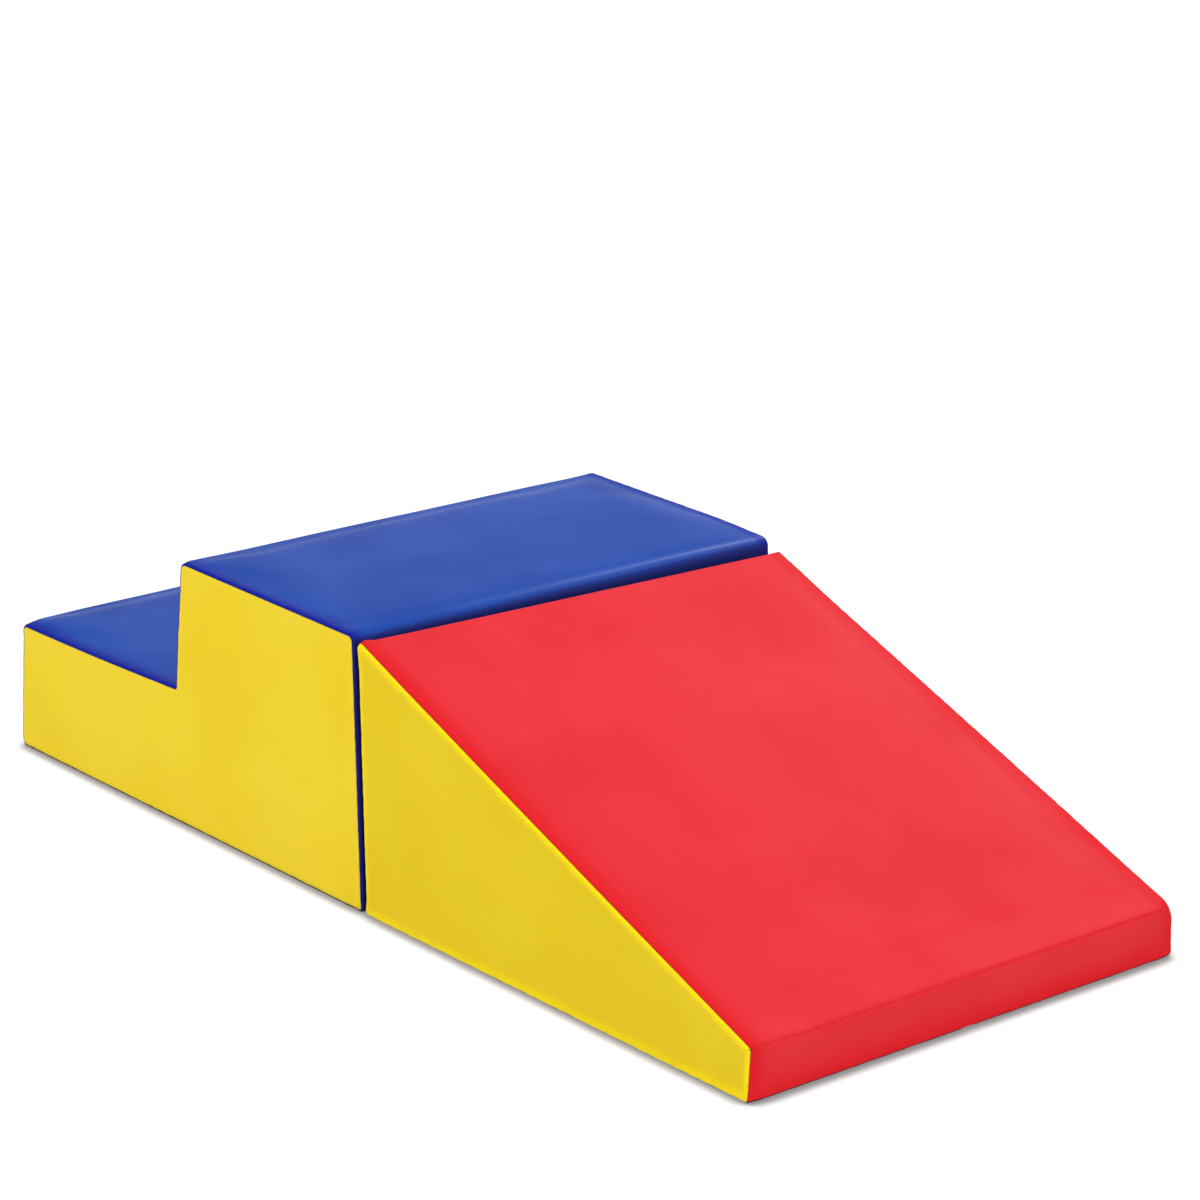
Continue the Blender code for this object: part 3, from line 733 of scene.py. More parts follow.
def vinyl_look():
    """Coated vinyl: slow tone changes, painted light, shade and shadow line at the seams, creases, grain and
    shine.
    """
    inputs = [
        ("Colour", "Color", BLUE),
        ("Shade", "Color", BLUE_SHADE),
        ("At Seam", "Color", BLUE_PAINTED_SEAM_SHADE),
        ("Seam Reach", "Float", PUCKER_REACH),
    ]
    outputs = [("Colour", "Color"), ("Roughness", "Float"), ("Shine", "Float"), ("Normal", "Vector")]
    tree, given, result = new_group("vinyl look", "ShaderNodeTree", inputs, outputs)
    place = own_place(tree)
    from_seam = mark_of(tree, "seam_distance")
    slow = patches_of(tree, place, VINYL_PATCHES_PER_METRE)
    patch = ramped(tree, slow, VINYL_PATCHES_FROM, VINYL_PATCHES_TO)
    face = mixed(tree, patch, given["Colour"], given["Shade"])
    # Beside each seam the colour turns to the painted light and shade of its rounded edge, with a ragged
    # reach.
    ragged = patches_of(tree, place, VINYL_RAGGED_PER_METRE)
    shift = worked_out(tree, "MULTIPLY_ADD", ragged, VINYL_RAGGED_DEPTH, -VINYL_RAGGED_DEPTH / 2)
    wavy = worked_out(tree, "ADD", from_seam, shift)
    near_seam = ramped(tree, wavy, 0.0, given["Seam Reach"], 1.0, 0.0)
    seam_shaded = mixed(tree, near_seam, face, given["At Seam"])
    # The faces where the blocks meet take a painted shade for their narrow gap.
    rubbed = worked_out(tree, "MULTIPLY", mark_of(tree, "rubbed"), JOIN_PAINTED_SHADE_SHARE)
    with_join_shade = mixed(tree, rubbed, seam_shaded, JOIN_PAINTED_SHADE)
    # The painted shadow line in each seam's groove.
    line = ramped(tree, from_seam, SEAM_SHADOW_LINE_START, SEAM_SHADOW_LINE_END, SEAM_SHADOW_LINE_DEPTH_SHARE, 0.0)
    creased = bumped(tree, patches_of(tree, place, VINYL_CREASES_PER_METRE), VINYL_CREASE_DEPTH)
    grained = bumped(tree, cells_of(tree, place, VINYL_GRAIN_PER_METRE), VINYL_GRAIN_DEPTH, Normal=creased)
    turns = worked_out(tree, "MULTIPLY", mark_of(tree, "seam_run"), math.tau / DIMPLE_PITCH)
    held = ramped(tree, from_seam, 0.0, DIMPLE_REACH, 1.0, 0.0)
    dimples = worked_out(tree, "MULTIPLY", worked_out(tree, "COSINE", turns), held)
    feed(tree, result, {
        "Colour": mixed(tree, line, with_join_shade, SEAM_SHADOW_LINE_COLOUR),
        "Roughness": worked_out(tree, "MULTIPLY_ADD", patch, VINYL_ROUGHNESS_SPREAD, VINYL_ROUGHNESS),
        "Shine": worked_out(tree, "MULTIPLY", mark_of(tree, "stretched"), SHINE_SHARE),
        "Normal": bumped(tree, dimples, DIMPLE_DEPTH, Normal=grained),
    })
    return tree


def vinyl_material(name, colour, shade, at_seam, reach):
    """Vinyl of one colour with painted light and shade by its seams, shiny only where it is stretched."""
    material, tree, surface = bare_material(name)
    feeds = {"Colour": colour, "Shade": shade, "At Seam": at_seam, "Seam Reach": reach}
    look = add_node(tree, "ShaderNodeGroup", feeds, node_tree=vinyl_group).outputs
    feed(tree, surface, {
        "Base Color": look["Colour"],
        "Roughness": look["Roughness"],
        "Coat Weight": look["Shine"],
        "Coat Roughness": SHINE_ROUGHNESS,
        "Specular IOR Level": VINYL_SPECULAR,
        "Normal": look["Normal"],
    })
    return material


def seam_shape(run, y, distance):
    """How far the cover stands in or out near a seam, at a place along it and a distance from it."""
    groove = -SEAM_GROOVE_DEPTH * bell(distance, SEAM_GROOVE_HALF_WIDTH)
    wave = noise.noise(Vector((run / PUCKER_PITCH, y / PUCKER_PITCH, distance / PUCKER_REACH)))
    allowance = ALLOWANCE_RISE * smooth_share((ALLOWANCE_WIDTH - distance) / ALLOWANCE_FADE)
    return groove + allowance + PUCKER_DEPTH * wave * math.exp(-distance / PUCKER_REACH)


def softness(place, distance, swell):
    """The slow dents and ripples of vinyl over foam, which calm down near seams, the floor and the join."""
    join_share = from_join(place, swell.join_x) / JOIN_CALM
    calm = min(1.0, distance / CALM_NEAR_SEAM, max(place.z, 0.0) / FLOOR_CALM, join_share)
    dent = noise.noise(place / DENT_SIZE + Vector(DENT_NOISE_START))
    ripple = noise.noise(place / RIPPLE_SIZE + Vector(RIPPLE_NOISE_START))
    return calm * (DENT_DEPTH * dent + RIPPLE_DEPTH * ripple)


def fitted(skin, swell, settled, lifted=None):
    """The skin's points where the foam, the seams and the block's own sag put them."""
    places = []
    for place, normal, distance, run in zip(skin.places, skin.normals, skin.seam_distances, skin.runs):
        stand = seam_shape(run, place.y, distance) + softness(place, distance, swell)
        if lifted:
            stand -= lifted(place, distance)
        places.append(place + swell.at(place) + normal * stand + settled(place))
    return places


def join_shade_share(place):
    """How much of a place on a cover lies on the faces where the two blocks meet, painted dark as the shade
    there.
    """
    return close_to(min(from_join(place, STEP_JOIN_X), from_join(place, RAMP_BACK_X)), JOIN_PAINTED_SHADE_REACH)


def stretched_share(place):
    """How tight the cover is stretched: only along the step block's back top edge, more on its far half."""
    edge_x, edge_z, radius = STEP_CORNERS[BACK_TOP_CORNER]
    away = math.hypot(place.x - edge_x + SHINE_FROM_EDGE, place.z - edge_z)
    far = smooth_share((place.y - SHINE_START_ACROSS) / (SHINE_FULL_ACROSS - SHINE_START_ACROSS))
    patch = 1 - SHINE_PATCH_SHARE * (1 + noise.noise(place / SHINE_PATCH_SIZE)) / 2
    return far * patch * bell(away, SHINE_HALF_WIDTH)


def sewn_piece(name, skin, places, material, body, shares):
    """A finished piece of cover: its skin with its thickness inwards, and its marks as named attributes."""
    data = skin.mesh(name, places)
    marks = {"seam_distance": skin.seam_distances, "seam_run": skin.runs}
    for label, share_at in shares.items():
        marks[label] = [share_at(place) for place in skin.places]
    for label, values in marks.items():
        data.attributes.new(label, "FLOAT", "POINT").data.foreach_set("value", values)
    piece = linked(name, data)
    wall = piece.modifiers.new("thickness", "SOLIDIFY")
    wall.thickness = COVER_THICKNESS
    wall.offset = -1.0
    with_modifiers_applied(piece)
    piece.data.name = name
    piece.data.shade_smooth()
    dress(piece, material)
    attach(piece, body)
    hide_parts(name)


def runs_along(stations):
    """The distance along a line of stations, from its start."""
    runs = [0.0]
    for (here, normal), (there, other) in zip(stations, stations[1:]):
        runs.append(runs[-1] + (there - here).length)
    return runs


def band_range(corners):
    """The first and last station of the bottom, which lie in the middle of its two rounded corners."""
    start, end = bottom_ends(corners)
    first = ARC_STEPS // 2
    last = ARC_STEPS + max(2, round((end - start) / COVER_SPACING)) + ARC_STEPS // 2
    return first, last


def trimmed(stations):
    """A run of stations with half a clearance left at each end, where the next piece is sewn on."""
    run = list(stations)
    for end, neighbour in ((0, 1), (-1, -2)):
        point, normal = run[end]
        run[end] = (point + (run[neighbour][0] - point).normalized() * CLEARANCE / 2, normal)
    return run


def over(items, corners):
    """Of the items round an outline, those from the back bottom edge over the top to the front one."""
    first, last = band_range(corners)
    return items[last:] + items[: first + 1]


def corners_at(block, y):
    """The block's corners at a place across it: sewn tight at the side seams, and softer between them."""
    share = smooth_share((HALF_WIDTH - abs(y)) / CORNER_SOFT_REACH)
    at_seam = SEAM_CORNER_RADII[block, 1 if y > 0 else -1]
    radii = zip(at_seam, MIDDLE_CORNER_RADII[block])
    return [(x, z, a + (b - a) * share) for (x, z, radius), (a, b) in zip(blocks[block][0], radii)]


def ring_at(block, y, inset):
    """The stations round a block at a place across it, drawn in by inset."""
    return outline(corners_at(block, y), inset, COVER_SPACING)


def flat_line(block, y, inset, tilt, distance):
    """A line that stays at one place across the block: (stations, across, tilt, seam distance)."""
    stations = ring_at(block, y, inset)
    return stations, [y] * len(stations), tilt, distance


def edge_line(block, side, angle, drop):
    """A line along a long edge where the cover has turned by angle, tighter near the floor."""
    lines, across = [], []
    for radius in (FLOOR_EDGE_RADIUS, EDGE_RADIUS[block, side]):
        inset = radius - radius * math.cos(angle)
        lines.append(ring_at(block, side * HALF_WIDTH, inset))
        across.append(side * (HALF_WIDTH - radius + radius * math.sin(angle)))
    stations, places_across = [], []
    for (sharp, normal), (soft, soft_normal) in zip(*lines):
        share = smooth_share(sharp.y / FLOOR_EDGE_HEIGHT)
        sunk = Vector((normal.x, normal.y * share)) * drop
        stations.append((sharp.lerp(soft, share) - sunk, normal))
        places_across.append(across[0] + (across[1] - across[0]) * share)
    return stations, places_across


def turn_lines(block, side, angles, radius, drop_at):
    """The lines, as in flat_line, of a sheet that turns over a long edge through the angles from its seam."""
    lines = []
    for angle in angles:
        distance = radius * abs(angle - angles[0])
        stations, across = edge_line(block, side, angle, drop_at(distance))
        lines.append((stations, across, side * angle, distance))
    return lines


def edge_drop(distance):
    """How far the band sinks below its face towards a side seam."""
    return EDGE_DROP * max(0.0, 1 - distance / EDGE_DROP_REACH) ** 2


def band_lines(block):
    """The lines of a band from the near seam to the far one, as in flat_line."""
    turned, inner_y = {}, {}
    for side in sides.values():
        radius = EDGE_RADIUS[block, side]
        start = SEAM_TURN[block] - SEAM_GAP / (2 * radius)
        angles = [start * (1 - share) for share in TURN_SHARES]
        turned[side] = turn_lines(block, side, angles, radius, edge_drop)
        for step in EDGE_ROWS:
            y = side * (HALF_WIDTH - radius - step)
            distance = radius * start + step
            turned[side].append(flat_line(block, y, edge_drop(distance), 0.0, distance))
        inner_y[side] = y
    low, high = inner_y[-1], inner_y[1]
    steps = round((high - low) / BAND_STEP_ACROSS)
    middle = []
    for step in range(1, steps):
        y = low + (high - low) * step / steps
        middle.append(flat_line(block, y, 0.0, 0.0, HALF_WIDTH - abs(y)))
    return turned[-1] + middle + turned[1][::-1]


def open_skin(block, lines, taken):
    """A sheet whose two ends are seams too: of each line it has the part that taken gives."""
    skin = Skin()
    corners = blocks[block][0]
    runs = runs_along(trimmed(taken(outline(corners, 0.0, COVER_SPACING), corners)))
    to_end = [min(run, runs[-1] - run) for run in runs]
    rows = []
    for stations, across, tilt, distance in lines:
        part = trimmed(taken(stations, corners))
        rows.append(skin.add_row(part, taken(across, corners), tilt, distance, runs, to_end))
    skin.join_rows(rows, closed=False)
    return skin


def crease_toe(skin, places):
    """Press a shallow crease into the ramp's band, just under the bend at its toe, and paint the seams' shade
    along it.
    """
    bend_x, bend_z, radius = RAMP_CORNERS[TOE_BEND_CORNER]
    for i, (place, normal) in enumerate(zip(skin.places, skin.normals)):
        away = math.hypot(place.x - bend_x, place.z - (bend_z - CREASE_BELOW_BEND))
        places[i] -= normal * CREASE_DEPTH * bell(away, CREASE_HALF_WIDTH)
        # The crease counts as close to a seam, so the painted seam shade darkens it.
        skin.seam_distances[i] = min(skin.seam_distances[i], CREASE_SHADE_FROM_SEAM + CREASE_SHADE_SPREAD * away)


def side_skin(block, side):
    """A side panel: rings from the seam over its last turn, then an even grid over the flat middle."""
    skin = Skin()
    corners = blocks[block][0]
    stations = outline(corners, 0.0, COVER_SPACING)
    first, last = band_range(corners)
    shift = len(stations) - last
    runs = runs_along(stations[last:] + stations[:last])
    runs = runs[shift:] + runs[:shift]
    to_end = [NO_END] * len(runs)
    radius = EDGE_RADIUS[block, side]
    start = SEAM_TURN[block] + SEAM_GAP / (2 * radius)
    quarter = math.pi / 2
    angles = [start + (quarter - start) * share for share in TURN_SHARES]
    lines = turn_lines(block, side, angles, radius, lambda distance: EDGE_DROP)
    for step in SIDE_ROWS:
        distance = radius * (quarter - start) + step
        inset = radius + EDGE_DROP + step
        lines.append(flat_line(block, side * HALF_WIDTH, inset, side * quarter, distance))
    rows = [skin.add_row(*line, runs, to_end) for line in lines]
    skin.join_rows(rows, closed=True)
    skin.fill_ring(rows[-1], FOAM_SPACING, SIDE_ROWS[-1])
    return skin


sides = {"left": 1, "right": -1}
vinyl_group = vinyl_look()
blue_vinyl = vinyl_material("blue vinyl", BLUE, BLUE_SHADE, BLUE_PAINTED_SEAM_SHADE, BLUE_SEAM_REACH)
red_vinyl = vinyl_material("red vinyl", RED, RED_SHADE, RED_PAINTED_SEAM_SHADE, RED_SEAM_REACH)
yellow_vinyl = {}
for block, colours in (
    ("step", (STEP_YELLOW, STEP_YELLOW_SHADE, STEP_YELLOW_PAINTED_SEAM_SHADE)),
    ("ramp", (RAMP_YELLOW, RAMP_YELLOW_SHADE, RAMP_YELLOW_PAINTED_SEAM_HIGHLIGHT)),
):
    yellow_vinyl[block] = vinyl_material(f"{block} yellow vinyl", *colours, YELLOW_SEAM_REACH)
blocks = {
    "step": (STEP_CORNERS, step_swell, step_settled, blue_vinyl, "blue_vinyl"),
    "ramp": (RAMP_CORNERS, ramp_swell, ramp_settled, red_vinyl, "red_vinyl"),
}

for block, (corners, swell, settled, material, slot) in blocks.items():
    body = f"{block}_block"
    skin = open_skin(block, band_lines(block), over)
    places = fitted(skin, swell, settled)
    if block == "ramp":
        crease_toe(skin, places)
    shares = {"stretched": stretched_share, "rubbed": join_shade_share}
    sewn_piece(f"{block}_cover_band", skin, places, material, body, shares)
    for label, side in sides.items():
        skin = side_skin(block, side)
        places = fitted(skin, swell, settled)
        sewn_piece(f"{block}_side_panel_{label}", skin, places, yellow_vinyl[block], body, {})

# The undersides. Two panels of dark woven non-slip cloth are sewn to the vinyl all round, and each turns up
# in a hem along the middle, where the zip is sewn in.
GRIP_DOT_HEIGHT = 0.0005
GRIP_CLOTH_THREADS_PER_METRE = 900.0
GRIP_CLOTH_THREAD_DEPTH = 0.00012
GRIP_CLOTH_LIGHT = (0.034, 0.034, 0.038, 1.0)
GRIP_CLOTH_DARK = (0.010, 0.010, 0.012, 1.0)
GRIP_CLOTH_ROUGHNESS = 0.85
GRIP_CLOTH_LIFT_REACH = 0.008
GRIP_CLOTH_RIPPLE = 0.0005
GRIP_CLOTH_RIPPLE_SIZE = 0.060
BOTTOM_STEP_ACROSS = 0.010
ZIP_HALF_GAP = 0.007
HEM_RADIUS = 0.003
HEM_STEPS = 4
HEM_TOP = 0.0062


def weave_look():
    """A plain weave in the first two directions of its place, as a colour and a height."""
    inputs = [
        ("Place", "Vector", None),
        ("Threads Per Metre", "Float", GRIP_CLOTH_THREADS_PER_METRE),
        ("Light", "Color", GRIP_CLOTH_LIGHT),
        ("Dark", "Color", GRIP_CLOTH_DARK),
    ]
    outputs = [("Colour", "Color"), ("Height", "Float")]
    tree, given, result = new_group("weave look", "ShaderNodeTree", inputs, outputs)
    split = add_node(tree, "ShaderNodeSeparateXYZ", {"Vector": given["Place"]})
    waves = []
    for axis in ("X", "Y"):
        threads = worked_out(tree, "MULTIPLY", split.outputs[axis], given["Threads Per Metre"])
        waves.append(worked_out(tree, "SINE", worked_out(tree, "MULTIPLY", threads, math.pi)))
    heights = [worked_out(tree, "ABSOLUTE", wave) for wave in waves]
    warp_on_top = worked_out(tree, "GREATER_THAN", worked_out(tree, "MULTIPLY", *waves), 0.0)
    feeds = {"Factor": warp_on_top, "A": heights[0], "B": heights[1]}
    height = add_node(tree, "ShaderNodeMix", feeds, data_type="FLOAT").outputs["Result"]
    feed(tree, result, {"Colour": mixed(tree, height, given["Dark"], given["Light"]), "Height": height})
    return tree


def woven_material(name, threads, light, dark, depth, roughness, turn=(0.0, 0.0, 0.0)):
    """A woven cloth whose weave lies across the first two directions once its place is turned."""
    material, tree, surface = bare_material(name)
    feeds = {"Vector": own_place(tree), "Rotation": turn}
    turned = add_node(tree, "ShaderNodeMapping", feeds).outputs["Vector"]
    feeds = {"Place": turned, "Threads Per Metre": threads, "Light": light, "Dark": dark}
    look = add_node(tree, "ShaderNodeGroup", feeds, node_tree=weave_group).outputs
    normal = bumped(tree, look["Height"], depth)
    feed(tree, surface, {"Base Color": look["Colour"], "Roughness": roughness, "Normal": normal})
    return material


def under(items, corners):
    """Of the items round an outline, those of the bottom, between the middles of its two rounded corners."""
    first, last = band_range(corners)
    return items[first : last + 1]


def bottom_lines(block, side):
    """The lines of a bottom panel from its side seam to the top of its hem, as in flat_line."""
    start = SEAM_TURN[block] - SEAM_GAP / (2 * FLOOR_EDGE_RADIUS)
    angles = [start * (1 - share) for share in TURN_SHARES]
    lines = turn_lines(block, side, angles, FLOOR_EDGE_RADIUS, lambda distance: 0.0)
    seam_to_flat = FLOOR_EDGE_RADIUS * start
    flat_half = HALF_WIDTH - FLOOR_EDGE_RADIUS
    hem_centre = ZIP_HALF_GAP + HEM_RADIUS
    steps = round((flat_half - hem_centre) / BOTTOM_STEP_ACROSS)
    places = [(0.0, flat_half + (hem_centre - flat_half) * step / steps, 0.0) for step in range(1, steps + 1)]
    for step in range(1, HEM_STEPS + 1):
        angle = math.pi / 2 * step / HEM_STEPS
        inset = HEM_RADIUS - HEM_RADIUS * math.cos(angle)
        places.append((inset, hem_centre - HEM_RADIUS * math.sin(angle), -angle))
    places.append((HEM_TOP, ZIP_HALF_GAP, -math.pi / 2))
    for inset, across, tilt in places:
        distance = seam_to_flat + flat_half - across
        lines.append(flat_line(block, side * across, inset, side * tilt, distance))
    return lines


def lifted(place, distance):
    """The cloth between the grip dots stays off the floor, with slight ripples."""
    reach = min(1.0, distance / GRIP_CLOTH_LIFT_REACH)
    ripple = (1 + noise.noise(place / GRIP_CLOTH_RIPPLE_SIZE)) / 2
    return reach * (GRIP_DOT_HEIGHT + GRIP_CLOTH_RIPPLE * ripple)


weave_group = weave_look()
grip_cloth = woven_material(
    "non-slip cloth",
    GRIP_CLOTH_THREADS_PER_METRE,
    GRIP_CLOTH_LIGHT,
    GRIP_CLOTH_DARK,
    GRIP_CLOTH_THREAD_DEPTH,
    GRIP_CLOTH_ROUGHNESS,
)
for block, (corners, swell, settled, material, slot) in blocks.items():
    for label, side in sides.items():
        skin = open_skin(block, bottom_lines(block, side), under)
        places = fitted(skin, swell, settled, lifted)
        name = f"{block}_bottom_panel_{label}"
        sewn_piece(name, skin, places, grip_cloth, f"{block}_block", {})

# The grip dots. They are moulded in soft rubber on the underside cloth, in staggered rows, and the blocks
# stand on them.
GRIP_DOT_RADIUS = 0.0016
GRIP_DOT_PITCH = 0.010
GRIP_DOT_MARGIN_ALONG = 0.024
GRIP_DOT_MARGIN_SEAM = 0.018
GRIP_DOT_MARGIN_HEM = 0.014
GRIP_RUBBER = (0.018, 0.018, 0.020, 1.0)
GRIP_RUBBER_WORN = (0.035, 0.034, 0.033, 1.0)
GRIP_RUBBER_ROUGHNESS = 0.6
GRIP_RUBBER_PATCHES_PER_METRE = 25.0
DOT_SEGMENTS = 8
DOT_RINGS = 4


def grown(name, tree, data, values):
    """The plain mesh that a geometry tree makes from a mesh, with its named inputs set to values."""
    thing = linked(name, data)
    grower = thing.modifiers.new("grower", "NODES")
    grower.node_group = tree
    for item in tree.interface.items_tree:
        if item.in_out == "INPUT" and item.name in values:
            grower[item.identifier] = values[item.name]
    with_modifiers_applied(thing)
    thing.data.name = name
    return thing


def stepped_grid(tree, given):
    """Points on a grid whose every second row is moved half a pitch, from the tree's sizes and pitch."""
    counts = []
    for label in ("Size X", "Size Y"):
        steps = worked_out(tree, "FLOOR", worked_out(tree, "DIVIDE", given[label], given["Pitch"]))
        counts.append(worked_out(tree, "ADD", steps, 1.0))
    feeds = {
        "Size X": given["Size X"],
        "Size Y": given["Size Y"],
        "Vertices X": counts[0],
        "Vertices Y": counts[1],
    }
    grid = add_node(tree, "GeometryNodeMeshGrid", feeds).outputs["Mesh"]
    index = add_node(tree, "GeometryNodeInputIndex").outputs["Index"]
    row = worked_out(tree, "FLOORED_MODULO", index, counts[1])
    odd = worked_out(tree, "FLOORED_MODULO", row, 2.0)
    half = worked_out(tree, "DIVIDE", worked_out(tree, "MULTIPLY", odd, given["Pitch"]), 2.0)
    move = add_node(tree, "ShaderNodeCombineXYZ", {"X": half}).outputs["Vector"]
    return add_node(tree, "GeometryNodeSetPosition", {"Geometry": grid, "Offset": move}).outputs["Geometry"]


def scaled_ball(tree, segments, rings, x, y, z):
    """A low ball round the origin, drawn out to its three half lengths."""
    feeds = {"Segments": segments, "Rings": rings, "Radius": 1.0}
    ball = add_node(tree, "GeometryNodeMeshUVSphere", feeds).outputs["Mesh"]
    scale = add_node(tree, "ShaderNodeCombineXYZ", {"X": x, "Y": y, "Z": z}).outputs["Vector"]
    return add_node(tree, "GeometryNodeTransform", {"Geometry": ball, "Scale": scale}).outputs["Geometry"]


def geometry_group(name, inputs):
    """An empty geometry group that puts out one geometry, and takes a material besides its other inputs."""
    inputs.append(("Material", "Material", None))
    return new_group(name, "GeometryNodeTree", inputs, [("Geometry", "Geometry")])


def finish_tree(tree, instances, given, result):
    """Make the instances real, smooth them and give them the tree's material."""
    real = add_node(tree, "GeometryNodeRealizeInstances", {"Geometry": instances}).outputs["Geometry"]
    smooth = add_node(tree, "GeometryNodeSetShadeSmooth", {"Geometry": real}).outputs["Geometry"]
    feeds = {"Geometry": smooth, "Material": given["Material"]}
    feed(tree, result, {"Geometry": add_node(tree, "GeometryNodeSetMaterial", feeds).outputs["Geometry"]})


def grip_dot_tree():
    """Flat round dots in staggered rows."""
    tree, given, result = geometry_group("grip dots", [
        ("Size X", "Float", 0.0),
        ("Size Y", "Float", 0.0),
        ("Pitch", "Float", GRIP_DOT_PITCH),
        ("Middle", "Vector", None),
        ("Dot Radius", "Float", GRIP_DOT_RADIUS),
        ("Dot Height", "Float", GRIP_DOT_HEIGHT),
    ])
    radius = given["Dot Radius"]
    dot = scaled_ball(tree, DOT_SEGMENTS, DOT_RINGS, radius, radius, given["Dot Height"])
    feeds = {"Geometry": stepped_grid(tree, given), "Translation": given["Middle"]}
    points = add_node(tree, "GeometryNodeTransform", feeds).outputs["Geometry"]
    dots = add_node(tree, "GeometryNodeInstanceOnPoints", {"Points": points, "Instance": dot})
    finish_tree(tree, dots.outputs["Instances"], given, result)
    return tree


grip_rubber = patchy_material(
    "grip rubber", GRIP_RUBBER, GRIP_RUBBER_WORN, GRIP_RUBBER_PATCHES_PER_METRE, GRIP_RUBBER_ROUGHNESS
)
dot_tree = grip_dot_tree()
for block, (corners, swell, settled, material, slot) in blocks.items():
    for label, side in sides.items():
        start, end = bottom_ends(corners)
        low_x, high_x = start + GRIP_DOT_MARGIN_ALONG, end - GRIP_DOT_MARGIN_ALONG
        low_y, high_y = ZIP_HALF_GAP + GRIP_DOT_MARGIN_HEM, HALF_WIDTH - GRIP_DOT_MARGIN_SEAM
        dots = grown(f"{block}_grip_dots_{label}", dot_tree, bpy.data.meshes.new("dots"), {
            "Size X": high_x - low_x,
            "Size Y": high_y - low_y,
            "Middle": ((low_x + high_x) / 2, side * (low_y + high_y) / 2, GRIP_DOT_HEIGHT),
            "Material": grip_rubber,
        })
        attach(dots, f"{block}_block")

# The seam thread. Polyester thread in the colour of each band lies deep in every seam, one short stitch after
# another, round both sides of a block and across its two bottom edges.
THREAD_RADIUS = 0.00035
STITCH_LENGTH = 0.0036
STITCH_PITCH = 0.0044
THREAD_SEGMENTS = 6
THREAD_RINGS = 4
THREAD_UNDER_FACE = 0.0010
THREAD_ROUGHNESS = 0.7
THREAD_PLIES_PER_METRE = 2600.0
BLUE_THREAD = (0.010, 0.022, 0.170, 1.0)
BLUE_THREAD_DARK = (0.006, 0.012, 0.090, 1.0)
RED_THREAD = (0.330, 0.010, 0.016, 1.0)
RED_THREAD_DARK = (0.200, 0.006, 0.010, 1.0)


def stitch_tree():
    """Stitches along the edges of a mesh, each lying along its path."""
    tree, given, result = geometry_group("stitches", [
        ("Path", "Geometry", None),
        ("Stitch Pitch", "Float", STITCH_PITCH),
        ("Stitch Length", "Float", STITCH_LENGTH),
        ("Thread Radius", "Float", THREAD_RADIUS),
    ])
    line = add_node(tree, "GeometryNodeMeshToCurve", {"Mesh": given["Path"]}).outputs["Curve"]
    feeds = {"Curve": line, "Length": given["Stitch Pitch"]}
    spots = add_node(tree, "GeometryNodeResampleCurve", feeds, mode="LENGTH").outputs["Curve"]
    half_length = worked_out(tree, "DIVIDE", given["Stitch Length"], 2.0)
    radius = given["Thread Radius"]
    stitch = scaled_ball(tree, THREAD_SEGMENTS, THREAD_RINGS, half_length, radius, radius)
    feeds = {"Vector": add_node(tree, "GeometryNodeInputTangent").outputs["Tangent"]}
    turn = add_node(tree, "FunctionNodeAlignRotationToVector", feeds, axis="X").outputs["Rotation"]
    feeds = {"Points": spots, "Instance": stitch, "Rotation": turn}
    stitches = add_node(tree, "GeometryNodeInstanceOnPoints", feeds).outputs["Instances"]
    finish_tree(tree, stitches, given, result)
    return tree


def path_mesh(paths):
    """Open or closed paths (points, whether closed) as the edges of one mesh."""
    points, edges = [], []
    for path, closed in paths:
        first = len(points)
        points += path
        edges += [(i, i + 1) for i in range(first, len(points) - 1)]
        if closed:
            edges.append((len(points) - 1, first))
    data = bpy.data.meshes.new("path")
    data.from_pydata([tuple(point) for point in points], edges, [])
    return data


def seam_paths(block):
    """The lines of a block's seams, a little under the vinyl: round each side and across each bottom edge."""
    corners, swell, settled, material, slot = blocks[block]
    paths = []
    for side in sides.values():
        path = []
        turn = SEAM_TURN[block]
        for (point, normal), y in zip(*edge_line(block, side, turn, EDGE_DROP)):
            under_face = point - normal * math.cos(turn) * THREAD_UNDER_FACE
            path.append(Vector((under_face.x, y - side * math.sin(turn) * THREAD_UNDER_FACE, under_face.y)))
        paths.append((path, True))
    flat_half = HALF_WIDTH - SEAM_RADIUS
    steps = round(2 * flat_half / COVER_SPACING)
    for station in band_range(corners):
        path = []
        for step in range(steps + 1):
            y = -flat_half + 2 * flat_half * step / steps
            point, normal = ring_at(block, y, THREAD_UNDER_FACE)[station]
            path.append(Vector((point.x, y, point.y)))
        paths.append((path, False))
    return [([place + swell.at(place) + settled(place) for place in path], closed) for path, closed in paths]


thread_tree = stitch_tree()
threads = {}
for block, name, dark, light in (
    ("step", "blue thread", BLUE_THREAD_DARK, BLUE_THREAD),
    ("ramp", "red thread", RED_THREAD_DARK, RED_THREAD),
):
    threads[block] = patchy_material(name, dark, light, THREAD_PLIES_PER_METRE, THREAD_ROUGHNESS)
for block, (corners, swell, settled, material, slot) in blocks.items():
    seams = path_mesh(seam_paths(block))
    thread = grown(f"{block}_seam_thread", thread_tree, seams, {"Material": threads[block]})
    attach(thread, f"{block}_block")

